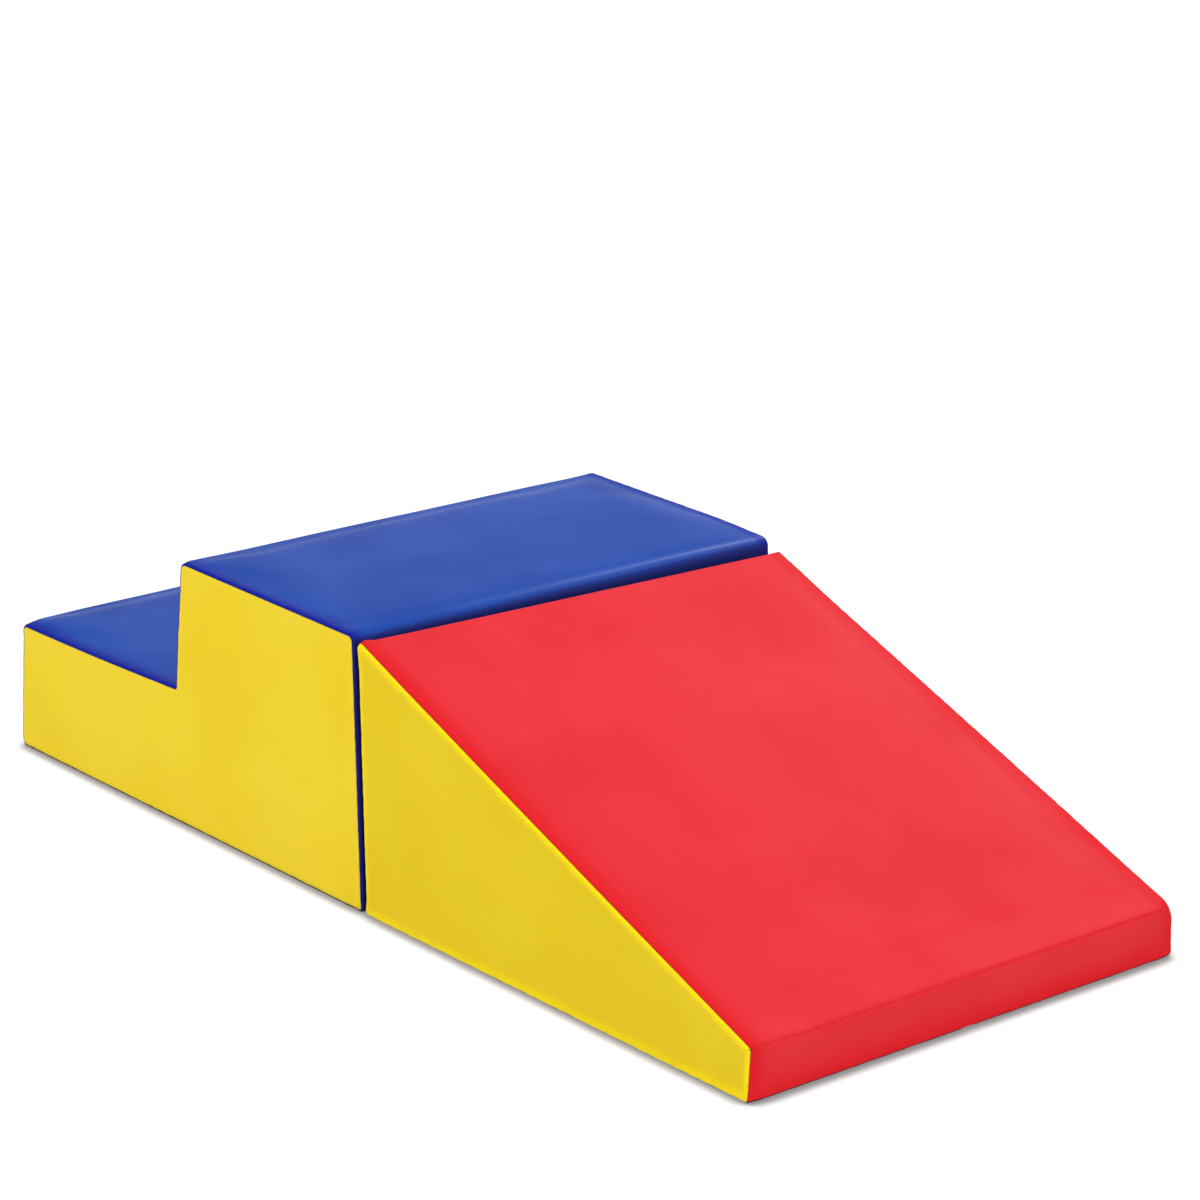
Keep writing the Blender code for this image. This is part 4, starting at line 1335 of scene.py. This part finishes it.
# The zips, one along the underside of each block, so that the cover comes off for washing. Each has two woven
# tapes sewn to the hems, and a nylon coil on each tape.
ZIP_END_MARGIN = 0.032
COIL_INNER = 0.0006
COIL_OUTER = 0.0024
COIL_BOTTOM = 0.0046
COIL_TOP = 0.0062
COIL_PITCH = 0.0015
COIL_WIRE_RADIUS = 0.00026
COIL_STEPS_PER_TURN = 10
COIL_WIRE_SIDES = 5
COIL_NYLON = (0.016, 0.016, 0.018, 1.0)
COIL_NYLON_WORN = (0.045, 0.045, 0.048, 1.0)
COIL_ROUGHNESS = 0.35
COIL_WEAR_PER_METRE = 120.0
TAPE_THREADS_PER_METRE = 1700.0
TAPE_THREAD_DEPTH = 0.00008
TAPE_LIGHT = (0.030, 0.030, 0.033, 1.0)
TAPE_DARK = (0.008, 0.008, 0.009, 1.0)
TAPE_ROUGHNESS = 0.8


def wired(tree, curve, wire_sides, radius):
    """A round wire along a curve, with closed ends."""
    feeds = {"Resolution": wire_sides, "Radius": radius}
    profile = add_node(tree, "GeometryNodeCurvePrimitiveCircle", feeds, mode="RADIUS").outputs["Curve"]
    feeds = {"Curve": curve, "Profile Curve": profile, "Fill Caps": True}
    return add_node(tree, "GeometryNodeCurveToMesh", feeds).outputs["Mesh"]


def coil_ends(corners):
    """Where the coils of a block's zip start and end along X."""
    start, end = bottom_ends(corners)
    return start + ZIP_END_MARGIN, end - ZIP_END_MARGIN


def coil_tree():
    """A flattened spiral of nylon wire along X."""
    tree, given, result = geometry_group("zip coil", [
        ("Length", "Float", 0.0),
        ("Coil Pitch", "Float", COIL_PITCH),
        ("Half Width", "Float", 0.0),
        ("Half Height", "Float", 0.0),
        ("Wire Radius", "Float", COIL_WIRE_RADIUS),
        ("Start", "Vector", None),
    ])
    feeds = {
        "Resolution": COIL_STEPS_PER_TURN,
        "Rotations": worked_out(tree, "DIVIDE", given["Length"], given["Coil Pitch"]),
        "Start Radius": 1.0,
        "End Radius": 1.0,
        "Height": given["Length"],
    }
    spiral = add_node(tree, "GeometryNodeCurveSpiral", feeds).outputs["Curve"]
    feeds = {"X": given["Half Height"], "Y": given["Half Width"], "Z": 1.0}
    flat = add_node(tree, "ShaderNodeCombineXYZ", feeds).outputs["Vector"]
    feeds = {
        "Geometry": spiral,
        "Scale": flat,
        "Rotation": (0.0, math.pi / 2, 0.0),
        "Translation": given["Start"],
    }
    laid = add_node(tree, "GeometryNodeTransform", feeds).outputs["Geometry"]
    finish_tree(tree, wired(tree, laid, COIL_WIRE_SIDES, given["Wire Radius"]), given, result)
    return tree


zip_tape_cloth = woven_material(
    "zip tape", TAPE_THREADS_PER_METRE, TAPE_LIGHT, TAPE_DARK, TAPE_THREAD_DEPTH, TAPE_ROUGHNESS
)
zip_nylon = patchy_material("zip nylon", COIL_NYLON, COIL_NYLON_WORN, COIL_WEAR_PER_METRE, COIL_ROUGHNESS)
spiral_tree = coil_tree()
for block, (corners, swell, settled, material, slot) in blocks.items():
    coil_start, coil_end = coil_ends(corners)
    for label, side in sides.items():
        dress(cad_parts[f"{block}_zip_tape_{label}"], zip_tape_cloth)
        name = f"{block}_zip_coil_{label}"
        coil = grown(name, spiral_tree, bpy.data.meshes.new(name), {
            "Length": coil_end - coil_start - 2 * COIL_WIRE_RADIUS,
            "Half Width": (COIL_OUTER - COIL_INNER) / 2 - COIL_WIRE_RADIUS,
            "Half Height": (COIL_TOP - COIL_BOTTOM) / 2 - COIL_WIRE_RADIUS,
            "Start": (
                coil_start + COIL_WIRE_RADIUS,
                side * (COIL_INNER + COIL_OUTER) / 2,
                (COIL_BOTTOM + COIL_TOP) / 2,
            ),
            "Material": zip_nylon,
        })
        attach(coil, f"{block}_block")
        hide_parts(name)

# The zips' metal parts, pressed and plated: a crimped stop at either end, a slider of two plates held by a
# thin post with two lugs for the pull, and a pull with a rimmed tab and a grip hole.
STOP_LENGTH = 0.003
STOP_WIDTH = 0.0056
STOP_GAP = 0.0003
STOP_CRIMP = 0.00035
METAL_EDGE = 0.00025
SLIDER_X = 0.60785
SLIDER_LENGTH = 0.012
SLIDER_WIDTH = 0.0084
SLIDER_NARROW_WIDTH = 0.0066
LOWER_PLATE = (0.0035, 0.0043)
UPPER_PLATE = (0.0074, 0.0082)
FLANGE = (0.0034, 0.0042)
FLANGE_TOP = 0.0058
FLANGE_END = 0.0040
POST_HALF_WIDTH = 0.0003
POST_OVERLAP = 0.0002
LUG = (0.0015, 0.0025)
LUG_HALF_LENGTH = 0.0015
LUG_ROUND = 0.0013
PIN_HEIGHT = 0.0022
LUG_HOLE_RADIUS = 0.0007
PIN_RADIUS = 0.00055
ROUND_STEPS = 16
PULL_LENGTH = 0.026
PULL_WIDTH = 0.0070
PULL_NECK_LENGTH = 0.009
PULL_NECK_WIDTH = 0.0024
PULL_THICKNESS = 0.0012
PULL_SHOULDER = 0.0020
PULL_RIM = 0.0011
PULL_PRESSED = 0.00028
PULL_HOLE_RADIUS = 0.0015
PULL_HOLE_FROM_TIP = 0.0042
CUT_OVERRUN = 0.001
NICKEL = (0.56, 0.55, 0.53, 1.0)
NICKEL_DULL = (0.40, 0.39, 0.37, 1.0)
NICKEL_ROUGHNESS = 0.26
NICKEL_ROUGHNESS_SPREAD = 0.20
NICKEL_PATCHES_PER_METRE = 180.0
BEVEL_SEGMENTS = 2
BEVEL_ROUND_SHARE = 0.5
SHARP_ANGLE = math.radians(50.0)


def nickel_material():
    """Nickel plate, a little dull and handled in patches."""
    material, tree, surface = bare_material("nickel plate")
    worn = patches_of(tree, own_place(tree), NICKEL_PATCHES_PER_METRE)
    rough = worked_out(tree, "MULTIPLY_ADD", worn, NICKEL_ROUGHNESS_SPREAD, NICKEL_ROUGHNESS)
    feed(tree, surface, {
        "Base Color": mixed(tree, worn, NICKEL, NICKEL_DULL),
        "Roughness": rough,
        "Metallic": 1.0,
    })
    return material


def prism(name, shape, low, high, edge):
    """A closed prism over a flat shape in X and Y, from one height to another, with rounded rims."""
    solid = bmesh.new()
    rim = [solid.verts.new((x, y, low)) for x, y in shape]
    grown_top = bmesh.ops.extrude_face_region(solid, geom=[solid.faces.new(rim)])
    top = [item for item in grown_top["geom"] if isinstance(item, bmesh.types.BMVert)]
    bmesh.ops.translate(solid, verts=top, vec=(0, 0, high - low))
    bmesh.ops.recalc_face_normals(solid, faces=solid.faces)
    if edge:
        sharp = [line for line in solid.edges if line.calc_face_angle() > SHARP_ANGLE]
        bmesh.ops.bevel(
            solid,
            geom=sharp,
            offset=edge,
            segments=BEVEL_SEGMENTS,
            profile=BEVEL_ROUND_SHARE,
            affect="EDGES",
            clamp_overlap=True,
        )
    data = bpy.data.meshes.new(name)
    solid.to_mesh(data)
    solid.free()
    return linked(name, data)


def circle(x, y, radius):
    """A round shape in X and Y."""
    turns = [math.tau * step / ROUND_STEPS for step in range(ROUND_STEPS)]
    return [(x + radius * math.cos(turn), y + radius * math.sin(turn)) for turn in turns]


def round_end(x, radius):
    """The half round that ends a tab, from its right side to its left."""
    turns = [math.pi * (step / ROUND_STEPS - 1 / 2) for step in range(ROUND_STEPS + 1)]
    return [(x + radius * math.cos(turn), radius * math.sin(turn)) for turn in turns]


def lay_across(thing, z):
    """Turn a prism that stands along Z so that it lies along Y at a height."""
    thing.data.transform(Matrix.Translation((0, 0, z)) @ Matrix.Rotation(math.pi / 2, 4, "X"))


def metal_piece(piece, x, turned, node, body):
    """Turn a metal piece end for end if its block's zip runs the other way, and finish it at its place."""
    if turned:
        piece.data.transform(Matrix.Rotation(math.pi, 4, "Z"))
    piece.data.transform(Matrix.Translation((x, 0, 0)))
    piece.data.set_sharp_from_angle(angle=SHARP_ANGLE)
    piece.data.name = node
    dress(piece, nickel)
    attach(piece, body)
    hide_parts(node)


def both_sides(half_shape):
    """A closed shape in X and Y, from the half of it on the left, given along +X."""
    return [(x, -y) for x, y in half_shape] + half_shape[::-1]


def zip_stop(name):
    """A metal stop crimped round both coils, with a waist where the tool pressed it."""
    half_length, half_width = STOP_LENGTH / 2, STOP_WIDTH / 2
    half_shape = [(-half_length, half_width), (0.0, half_width - STOP_CRIMP), (half_length, half_width)]
    return prism(name, both_sides(half_shape), COIL_BOTTOM, COIL_TOP, METAL_EDGE)


def zip_slider(name):
    """The slider's body: two plates on a post, flanges that guide the coils, and two lugs with a hole."""
    front, back = -SLIDER_LENGTH / 2, SLIDER_LENGTH / 2
    wide, narrow = SLIDER_WIDTH / 2, SLIDER_NARROW_WIDTH / 2
    half_plate = [
        (front, wide - METAL_EDGE),
        (front + METAL_EDGE, wide),
        (FLANGE_END - narrow / 2, wide),
        (back, narrow),
    ]
    shape = both_sides(half_plate)
    slider = prism(name, shape, *LOWER_PLATE, METAL_EDGE)
    combined(slider, prism("upper_plate", shape, *UPPER_PLATE, METAL_EDGE), "UNION")
    post = both_sides([(front + METAL_EDGE, POST_HALF_WIDTH), (back - METAL_EDGE, POST_HALF_WIDTH)])
    post_low, post_high = LOWER_PLATE[1] - POST_OVERLAP, UPPER_PLATE[0] + POST_OVERLAP
    combined(slider, prism("post", post, post_low, post_high, 0.0), "UNION")
    flange_front = front + FLANGE[1] - FLANGE[0]
    for side in sides.values():
        near, far = sorted(side * y for y in FLANGE)
        flange = [(flange_front, near), (0.0, near), (0.0, far), (flange_front, far)]
        combined(slider, prism("flange", flange, post_low, FLANGE_TOP, 0.0), "UNION")
        foot = LOWER_PLATE[0] + POST_OVERLAP - PIN_HEIGHT
        outline_of_lug = [(LUG_HALF_LENGTH, foot), (-LUG_HALF_LENGTH, foot)]
        for step in range(1, ROUND_STEPS):
            turn = math.pi * step / ROUND_STEPS
            outline_of_lug.append((-LUG_HALF_LENGTH * math.cos(turn), -LUG_ROUND * math.sin(turn)))
        inner, outer = sorted(side * y for y in LUG)
        standing = prism("lug", outline_of_lug, -outer, -inner, 0.0)
        lay_across(standing, PIN_HEIGHT)
        combined(slider, standing, "UNION")
    hole_end = LUG[1] + CUT_OVERRUN
    hole = prism("hole", circle(0.0, 0.0, LUG_HOLE_RADIUS), -hole_end, hole_end, 0.0)
    lay_across(hole, PIN_HEIGHT)
    combined(slider, hole, "DIFFERENCE")
    return slider


def zip_pull(name):
    """The pull: a rimmed tab with a grip hole on a narrow neck, and a pin through the slider's lugs."""
    neck, half, thick = PULL_NECK_WIDTH / 2, PULL_WIDTH / 2, PULL_THICKNESS / 2
    shape = [(-thick, -neck), (PULL_NECK_LENGTH - PULL_SHOULDER, -neck), (PULL_NECK_LENGTH, -half)]
    shape += round_end(PULL_LENGTH - half, half)
    shape += [(PULL_NECK_LENGTH, half), (PULL_NECK_LENGTH - PULL_SHOULDER, neck), (-thick, neck)]
    low, high = PIN_HEIGHT - thick, PIN_HEIGHT + thick
    pull = prism(name, shape, low, high, METAL_EDGE)
    inner_half = half - PULL_RIM
    field = [
        (PULL_NECK_LENGTH, -inner_half),
        *round_end(PULL_LENGTH - half, inner_half),
        (PULL_NECK_LENGTH, inner_half),
    ]
    hole = circle(PULL_LENGTH - PULL_HOLE_FROM_TIP, 0.0, PULL_HOLE_RADIUS)
    for cut, cut_low, cut_high in (
        (field, low - CUT_OVERRUN, low + PULL_PRESSED),
        (field, high - PULL_PRESSED, high + CUT_OVERRUN),
        (hole, low - CUT_OVERRUN, high + CUT_OVERRUN),
    ):
        combined(pull, prism("cut", cut, cut_low, cut_high, 0.0), "DIFFERENCE")
    pin = prism("pin", circle(0.0, 0.0, PIN_RADIUS), -LUG[1], LUG[1], 0.0)
    lay_across(pin, PIN_HEIGHT)
    combined(pull, pin, "UNION")
    return pull


nickel = nickel_material()
for block, end, turned in (("step", -SLIDER_X, False), ("ramp", SLIDER_X, True)):
    coil_start, coil_end = coil_ends(blocks[block][0])
    for label, coil_tip, away in (
        ("bottom" if turned else "top", coil_start, -1),
        ("top" if turned else "bottom", coil_end, 1),
    ):
        name = f"{block}_zip_{label}_stop"
        middle = coil_tip + away * (STOP_GAP + STOP_LENGTH / 2)
        metal_piece(zip_stop(name), middle, False, name, f"{block}_block")
    for part, made in (("slider", zip_slider), ("pull", zip_pull)):
        name = f"{block}_zip_{part}"
        metal_piece(made(name), end, turned, name, f"{name}_body")

# The hook-and-loop strips that hold the blocks together: two upright strips on each meeting face, hooks on
# the step block and loops on the ramp block, each a woven backing with rounded corners, sewn on all round.
STRIP_THICKNESS = 0.0024
STRIP_WIDTH = 0.050
STRIP_LENGTH = 0.220
STRIP_SPACING = 0.320
STRIP_FROM_FLOOR = 0.045
BACKING_THICKNESS = 0.0011
BACKING_CORNER = 0.004
BACKING_EDGE = 0.0003
BACKING_CORNER_STEPS = 5
BORDER_STITCH_INSET = 0.0028
BORDER_STITCH_PITCH = 0.0034
BORDER_STITCH_LENGTH = 0.0026
BORDER_THREAD_RADIUS = 0.00022
PILE_MARGIN = 0.0045
PILE_PITCH = 0.0019
PILE_RANDOM_SEED = 7
HOOK_WIRE = 0.00010
LOOP_WIRE = 0.00006
ARCH_STEPS = 5
ARCH_SIDES = 3
HOOK_REACH = 0.0007
HOOK_PEAK_SHARE = 1.6
HOOK_TIP_SHARE = 0.45
LOOP_REACH = 0.0006
LOOP_PEAK_SHARE = 1.8
STRIP_THREADS_PER_METRE = 1500.0
STRIP_THREAD_DEPTH = 0.00010
STRIP_LIGHT = (0.040, 0.040, 0.043, 1.0)
STRIP_DARK = (0.010, 0.010, 0.011, 1.0)
STRIP_ROUGHNESS = 0.8
PILE_BLACK = (0.020, 0.020, 0.022, 1.0)
PILE_GREY = (0.060, 0.060, 0.064, 1.0)
PILE_ROUGHNESS = 0.55
PILE_PATCHES_PER_METRE = 260.0


def pile_tree():
    """A field of small arches of filament that stand on the X, Y plane, each turned by a random amount."""
    tree, given, result = geometry_group("pile", [
        ("Size X", "Float", 0.0),
        ("Size Y", "Float", 0.0),
        ("Pitch", "Float", PILE_PITCH),
        ("Start", "Vector", None),
        ("Peak", "Vector", None),
        ("End", "Vector", None),
        ("Turn Spread", "Float", 0.0),
        ("Seed", "Int", PILE_RANDOM_SEED),
        ("Wire Radius", "Float", HOOK_WIRE),
    ])
    feeds = {"Resolution": ARCH_STEPS, "Start": given["Start"], "Middle": given["Peak"], "End": given["End"]}
    arch = add_node(tree, "GeometryNodeCurveQuadraticBezier", feeds).outputs["Curve"]
    filament = wired(tree, arch, ARCH_SIDES, given["Wire Radius"])
    spread = given["Turn Spread"]
    back = worked_out(tree, "MULTIPLY", spread, -1.0)
    feeds = {"Seed": given["Seed"], 2: back, 3: spread}
    angle = add_node(tree, "FunctionNodeRandomValue", feeds, data_type="FLOAT").outputs[1]
    angles = add_node(tree, "ShaderNodeCombineXYZ", {"Z": angle}).outputs["Vector"]
    turn = add_node(tree, "FunctionNodeEulerToRotation", {"Euler": angles}).outputs["Rotation"]
    feeds = {"Points": stepped_grid(tree, given), "Instance": filament, "Rotation": turn}
    arches = add_node(tree, "GeometryNodeInstanceOnPoints", feeds).outputs["Instances"]
    finish_tree(tree, arches, given, result)
    return tree


def rounded_oblong(width, length, radius):
    """A rounded rectangle in X and Y round the origin."""
    shape = []
    for turns, (x, y) in enumerate(((1, 1), (-1, 1), (-1, -1), (1, -1))):
        centre = Vector((x * (width / 2 - radius), y * (length / 2 - radius)))
        for step in range(BACKING_CORNER_STEPS + 1):
            turn = math.pi / 2 * (turns + step / BACKING_CORNER_STEPS)
            shape.append(tuple(centre + Vector((math.cos(turn), math.sin(turn))) * radius))
    return shape


def on_face(block, side):
    """From a strip's own frame, width along X, length along Y and pile along Z, to its place on the block."""
    facing = 1 if block == "step" else -1
    face_x = STEP_JOIN_X if block == "step" else RAMP_BACK_X
    length_way = Vector((-LEAN_SLOPE, 0, 1)).normalized()
    pile_way = Vector((facing, 0, facing * LEAN_SLOPE)).normalized()
    width_way = length_way.cross(pile_way)
    middle_z = STRIP_FROM_FLOOR + STRIP_LENGTH / 2
    middle = Vector((face_x - LEAN_SLOPE * middle_z, side * STRIP_SPACING / 2, middle_z))
    turn = Matrix((width_way, length_way, pile_way)).transposed()
    return Matrix.Translation(middle + pile_way * CLEARANCE) @ turn.to_4x4()


strip_cloth = woven_material(
    "strip backing",
    STRIP_THREADS_PER_METRE,
    STRIP_LIGHT,
    STRIP_DARK,
    STRIP_THREAD_DEPTH,
    STRIP_ROUGHNESS,
    (0.0, math.pi / 2, 0.0),
)
pile = patchy_material("hook and loop pile", PILE_BLACK, PILE_GREY, PILE_PATCHES_PER_METRE, PILE_ROUGHNESS)
arches = pile_tree()
pile_height = STRIP_THICKNESS - BACKING_THICKNESS
hook_shape = {
    "Start": (0.0, 0.0, 0.0),
    "Peak": (0.0, 0.0, pile_height * HOOK_PEAK_SHARE),
    "End": (HOOK_REACH, 0.0, pile_height * HOOK_TIP_SHARE),
    "Turn Spread": 0.0,
    "Wire Radius": HOOK_WIRE,
}
loop_shape = {
    "Start": (-LOOP_REACH, 0.0, 0.0),
    "Peak": (0.0, 0.0, pile_height * LOOP_PEAK_SHARE),
    "End": (LOOP_REACH, 0.0, 0.0),
    "Turn Spread": math.pi,
    "Wire Radius": LOOP_WIRE,
}
for block, kind, arch_shape in (("step", "hook", hook_shape), ("ramp", "loop", loop_shape)):
    for label, side in sides.items():
        name = f"{block}_{kind}_strip_{label}"
        place = on_face(block, side)
        shape = rounded_oblong(STRIP_WIDTH, STRIP_LENGTH, BACKING_CORNER)
        backing = prism(name, shape, 0.0, BACKING_THICKNESS, BACKING_EDGE)
        border = rounded_oblong(
            STRIP_WIDTH - 2 * BORDER_STITCH_INSET, STRIP_LENGTH - 2 * BORDER_STITCH_INSET, BACKING_CORNER / 2
        )
        border_path = path_mesh([([Vector((x, y, BACKING_THICKNESS)) for x, y in border], True)])
        stitches = grown(f"{name}_stitches", thread_tree, border_path, {
            "Stitch Pitch": BORDER_STITCH_PITCH,
            "Stitch Length": BORDER_STITCH_LENGTH,
            "Thread Radius": BORDER_THREAD_RADIUS,
            "Material": strip_cloth,
        })
        field = grown(f"{name}_{kind}s", arches, bpy.data.meshes.new(name), {
            "Size X": STRIP_WIDTH - 2 * PILE_MARGIN,
            "Size Y": STRIP_LENGTH - 2 * PILE_MARGIN,
            "Material": pile,
            **arch_shape,
        })
        field.data.transform(Matrix.Translation((0, 0, BACKING_THICKNESS)))
        backing.data.materials.append(strip_cloth)
        for piece in (backing, stitches, field):
            piece.data.transform(place)
            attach(piece, f"{block}_block")
        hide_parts(name)

# The studio: a plain white floor whose glow has a thin soft contact shadow painted in, even soft light from
# above, behind, in front and the right, and the camera where the photograph was taken from.
CAMERA_AZIMUTH = 50.250
CAMERA_ELEVATION = 17.872
CAMERA_ROLL = 0.465
CAMERA_FOCAL_PIXELS = 4140.7
CAMERA_DISTANCE = 4.5505
CAMERA_SLIDE = (-0.04256, -0.17419)
CAMERA_AIM = (0.0, 0.0, 0.100)
IMAGE_PIXELS = 1200
SENSOR_WIDTH = 36.0

azimuth = math.radians(CAMERA_AZIMUTH)
elevation = math.radians(CAMERA_ELEVATION)
roll = math.radians(CAMERA_ROLL)
back = Vector((
    math.sin(azimuth) * math.cos(elevation),
    -math.cos(azimuth) * math.cos(elevation),
    math.sin(elevation),
))
level_right = Vector((math.cos(azimuth), math.sin(azimuth), 0.0))
level_up = back.cross(level_right)
right = level_right * math.cos(roll) + level_up * math.sin(roll)
up = level_up * math.cos(roll) - level_right * math.sin(roll)
camera_data = bpy.data.cameras.new("photo camera")
camera_data.sensor_width = SENSOR_WIDTH
camera_data.lens = CAMERA_FOCAL_PIXELS / IMAGE_PIXELS * SENSOR_WIDTH
camera = linked("photo camera", camera_data)
camera.matrix_world = Matrix((right, up, back)).transposed().to_4x4()
camera.location = Vector(CAMERA_AIM) - right * CAMERA_SLIDE[0] - up * CAMERA_SLIDE[1] + back * CAMERA_DISTANCE
bpy.context.scene.camera = camera

FLOOR_SIZE = 12.0
FLOOR_LEVEL = -0.0005
FLOOR_WHITE = (0.80, 0.80, 0.80, 1.0)
FLOOR_DUST = (0.78, 0.78, 0.78, 1.0)
FLOOR_DUST_PER_METRE = 1.5
FLOOR_ROUGHNESS = 0.9
FLOOR_SEEN = (0.20, 0.20, 0.20, 1.0)
WHITE_LIGHT = (1.0, 1.0, 1.0, 1.0)
# The glow at the contact, its reach and its two occlusion levels set the painted contact shadow.
FLOOR_GLOW = 0.92
CONTACT_GLOW = 0.24
CONTACT_REACH = 0.020
CONTACT_DARK = 0.50
CONTACT_LIGHT = 0.98
WORLD_LIGHT = 0.60
WORLD_SEEN = 1.0
LAMPS = {
    "overhead box": ((0.2, -0.5, 2.7), (0.0, 0.0, 0.1), (2.2, 2.2), 20.0),
    "back box": ((0.10, 2.50, 2.2), (0.3, 0.1, 0.15), (2.8, 1.1), 35.0),
    "near box": ((-1.0, -3.0, 1.3), (0.0, 0.0, 0.15), (1.6, 1.6), 28.0),
    "right box": ((3.0, -0.9, 1.0), (0.0, 0.0, 0.10), (1.4, 1.4), 22.0),
}


def seen_by_eye(tree):
    """One for what the camera, a mirror or clear material sees, and nothing for the light on things."""
    path = add_node(tree, "ShaderNodeLightPath").outputs
    eye = worked_out(tree, "MAXIMUM", path["Is Camera Ray"], path["Is Glossy Ray"])
    return worked_out(tree, "MAXIMUM", eye, path["Is Transmission Ray"])


half_floor = FLOOR_SIZE / 2
floor_corners = [
    (-half_floor, -half_floor, FLOOR_LEVEL),
    (half_floor, -half_floor, FLOOR_LEVEL),
    (half_floor, half_floor, FLOOR_LEVEL),
    (-half_floor, half_floor, FLOOR_LEVEL),
]
floor_mesh = bpy.data.meshes.new("floor")
floor_mesh.from_pydata(floor_corners, [], [(0, 1, 2, 3)])
floor = linked("floor", floor_mesh)
floor_material, floor_tree, floor_surface = bare_material("white floor")
dust = patches_of(floor_tree, own_place(floor_tree), FLOOR_DUST_PER_METRE)
dusty = mixed(floor_tree, dust, FLOOR_WHITE, FLOOR_DUST)
eye = seen_by_eye(floor_tree)
# Ambient occlusion dims the floor's glow near the blocks: a painted contact shadow, over the faint real
# shadow of its diffuse light.
nearness = add_node(floor_tree, "ShaderNodeAmbientOcclusion", {"Distance": CONTACT_REACH}).outputs["AO"]
glow_with_painted_shadow = ramped(floor_tree, nearness, CONTACT_DARK, CONTACT_LIGHT, CONTACT_GLOW, FLOOR_GLOW)
feed(floor_tree, floor_surface, {
    "Base Color": mixed(floor_tree, eye, dusty, FLOOR_SEEN),
    "Roughness": FLOOR_ROUGHNESS,
    "Specular IOR Level": 0.0,
    "Emission Color": WHITE_LIGHT,
    "Emission Strength": worked_out(floor_tree, "MULTIPLY", eye, glow_with_painted_shadow),
})
dress(floor, floor_material)

world = bpy.data.worlds.new("studio")
world.use_nodes = True
bpy.context.scene.world = world
world_tree = world.node_tree
feeds = {"Value": seen_by_eye(world_tree), "To Min": WORLD_LIGHT, "To Max": WORLD_SEEN}
level = add_node(world_tree, "ShaderNodeMapRange", feeds).outputs["Result"]
feed(world_tree, world_tree.nodes["Background"].inputs, {"Color": WHITE_LIGHT, "Strength": level})

for name, (place, aim, size, power) in LAMPS.items():
    lamp_data = bpy.data.lights.new(name, "AREA")
    lamp_data.shape = "RECTANGLE"
    lamp_data.size, lamp_data.size_y = size
    lamp_data.energy = power
    lamp = linked(name, lamp_data)
    lamp.location = place
    lamp.rotation_euler = (Vector(place) - Vector(aim)).to_track_quat("Z", "Y").to_euler()

bpy.context.scene.view_settings.view_transform = "Standard"
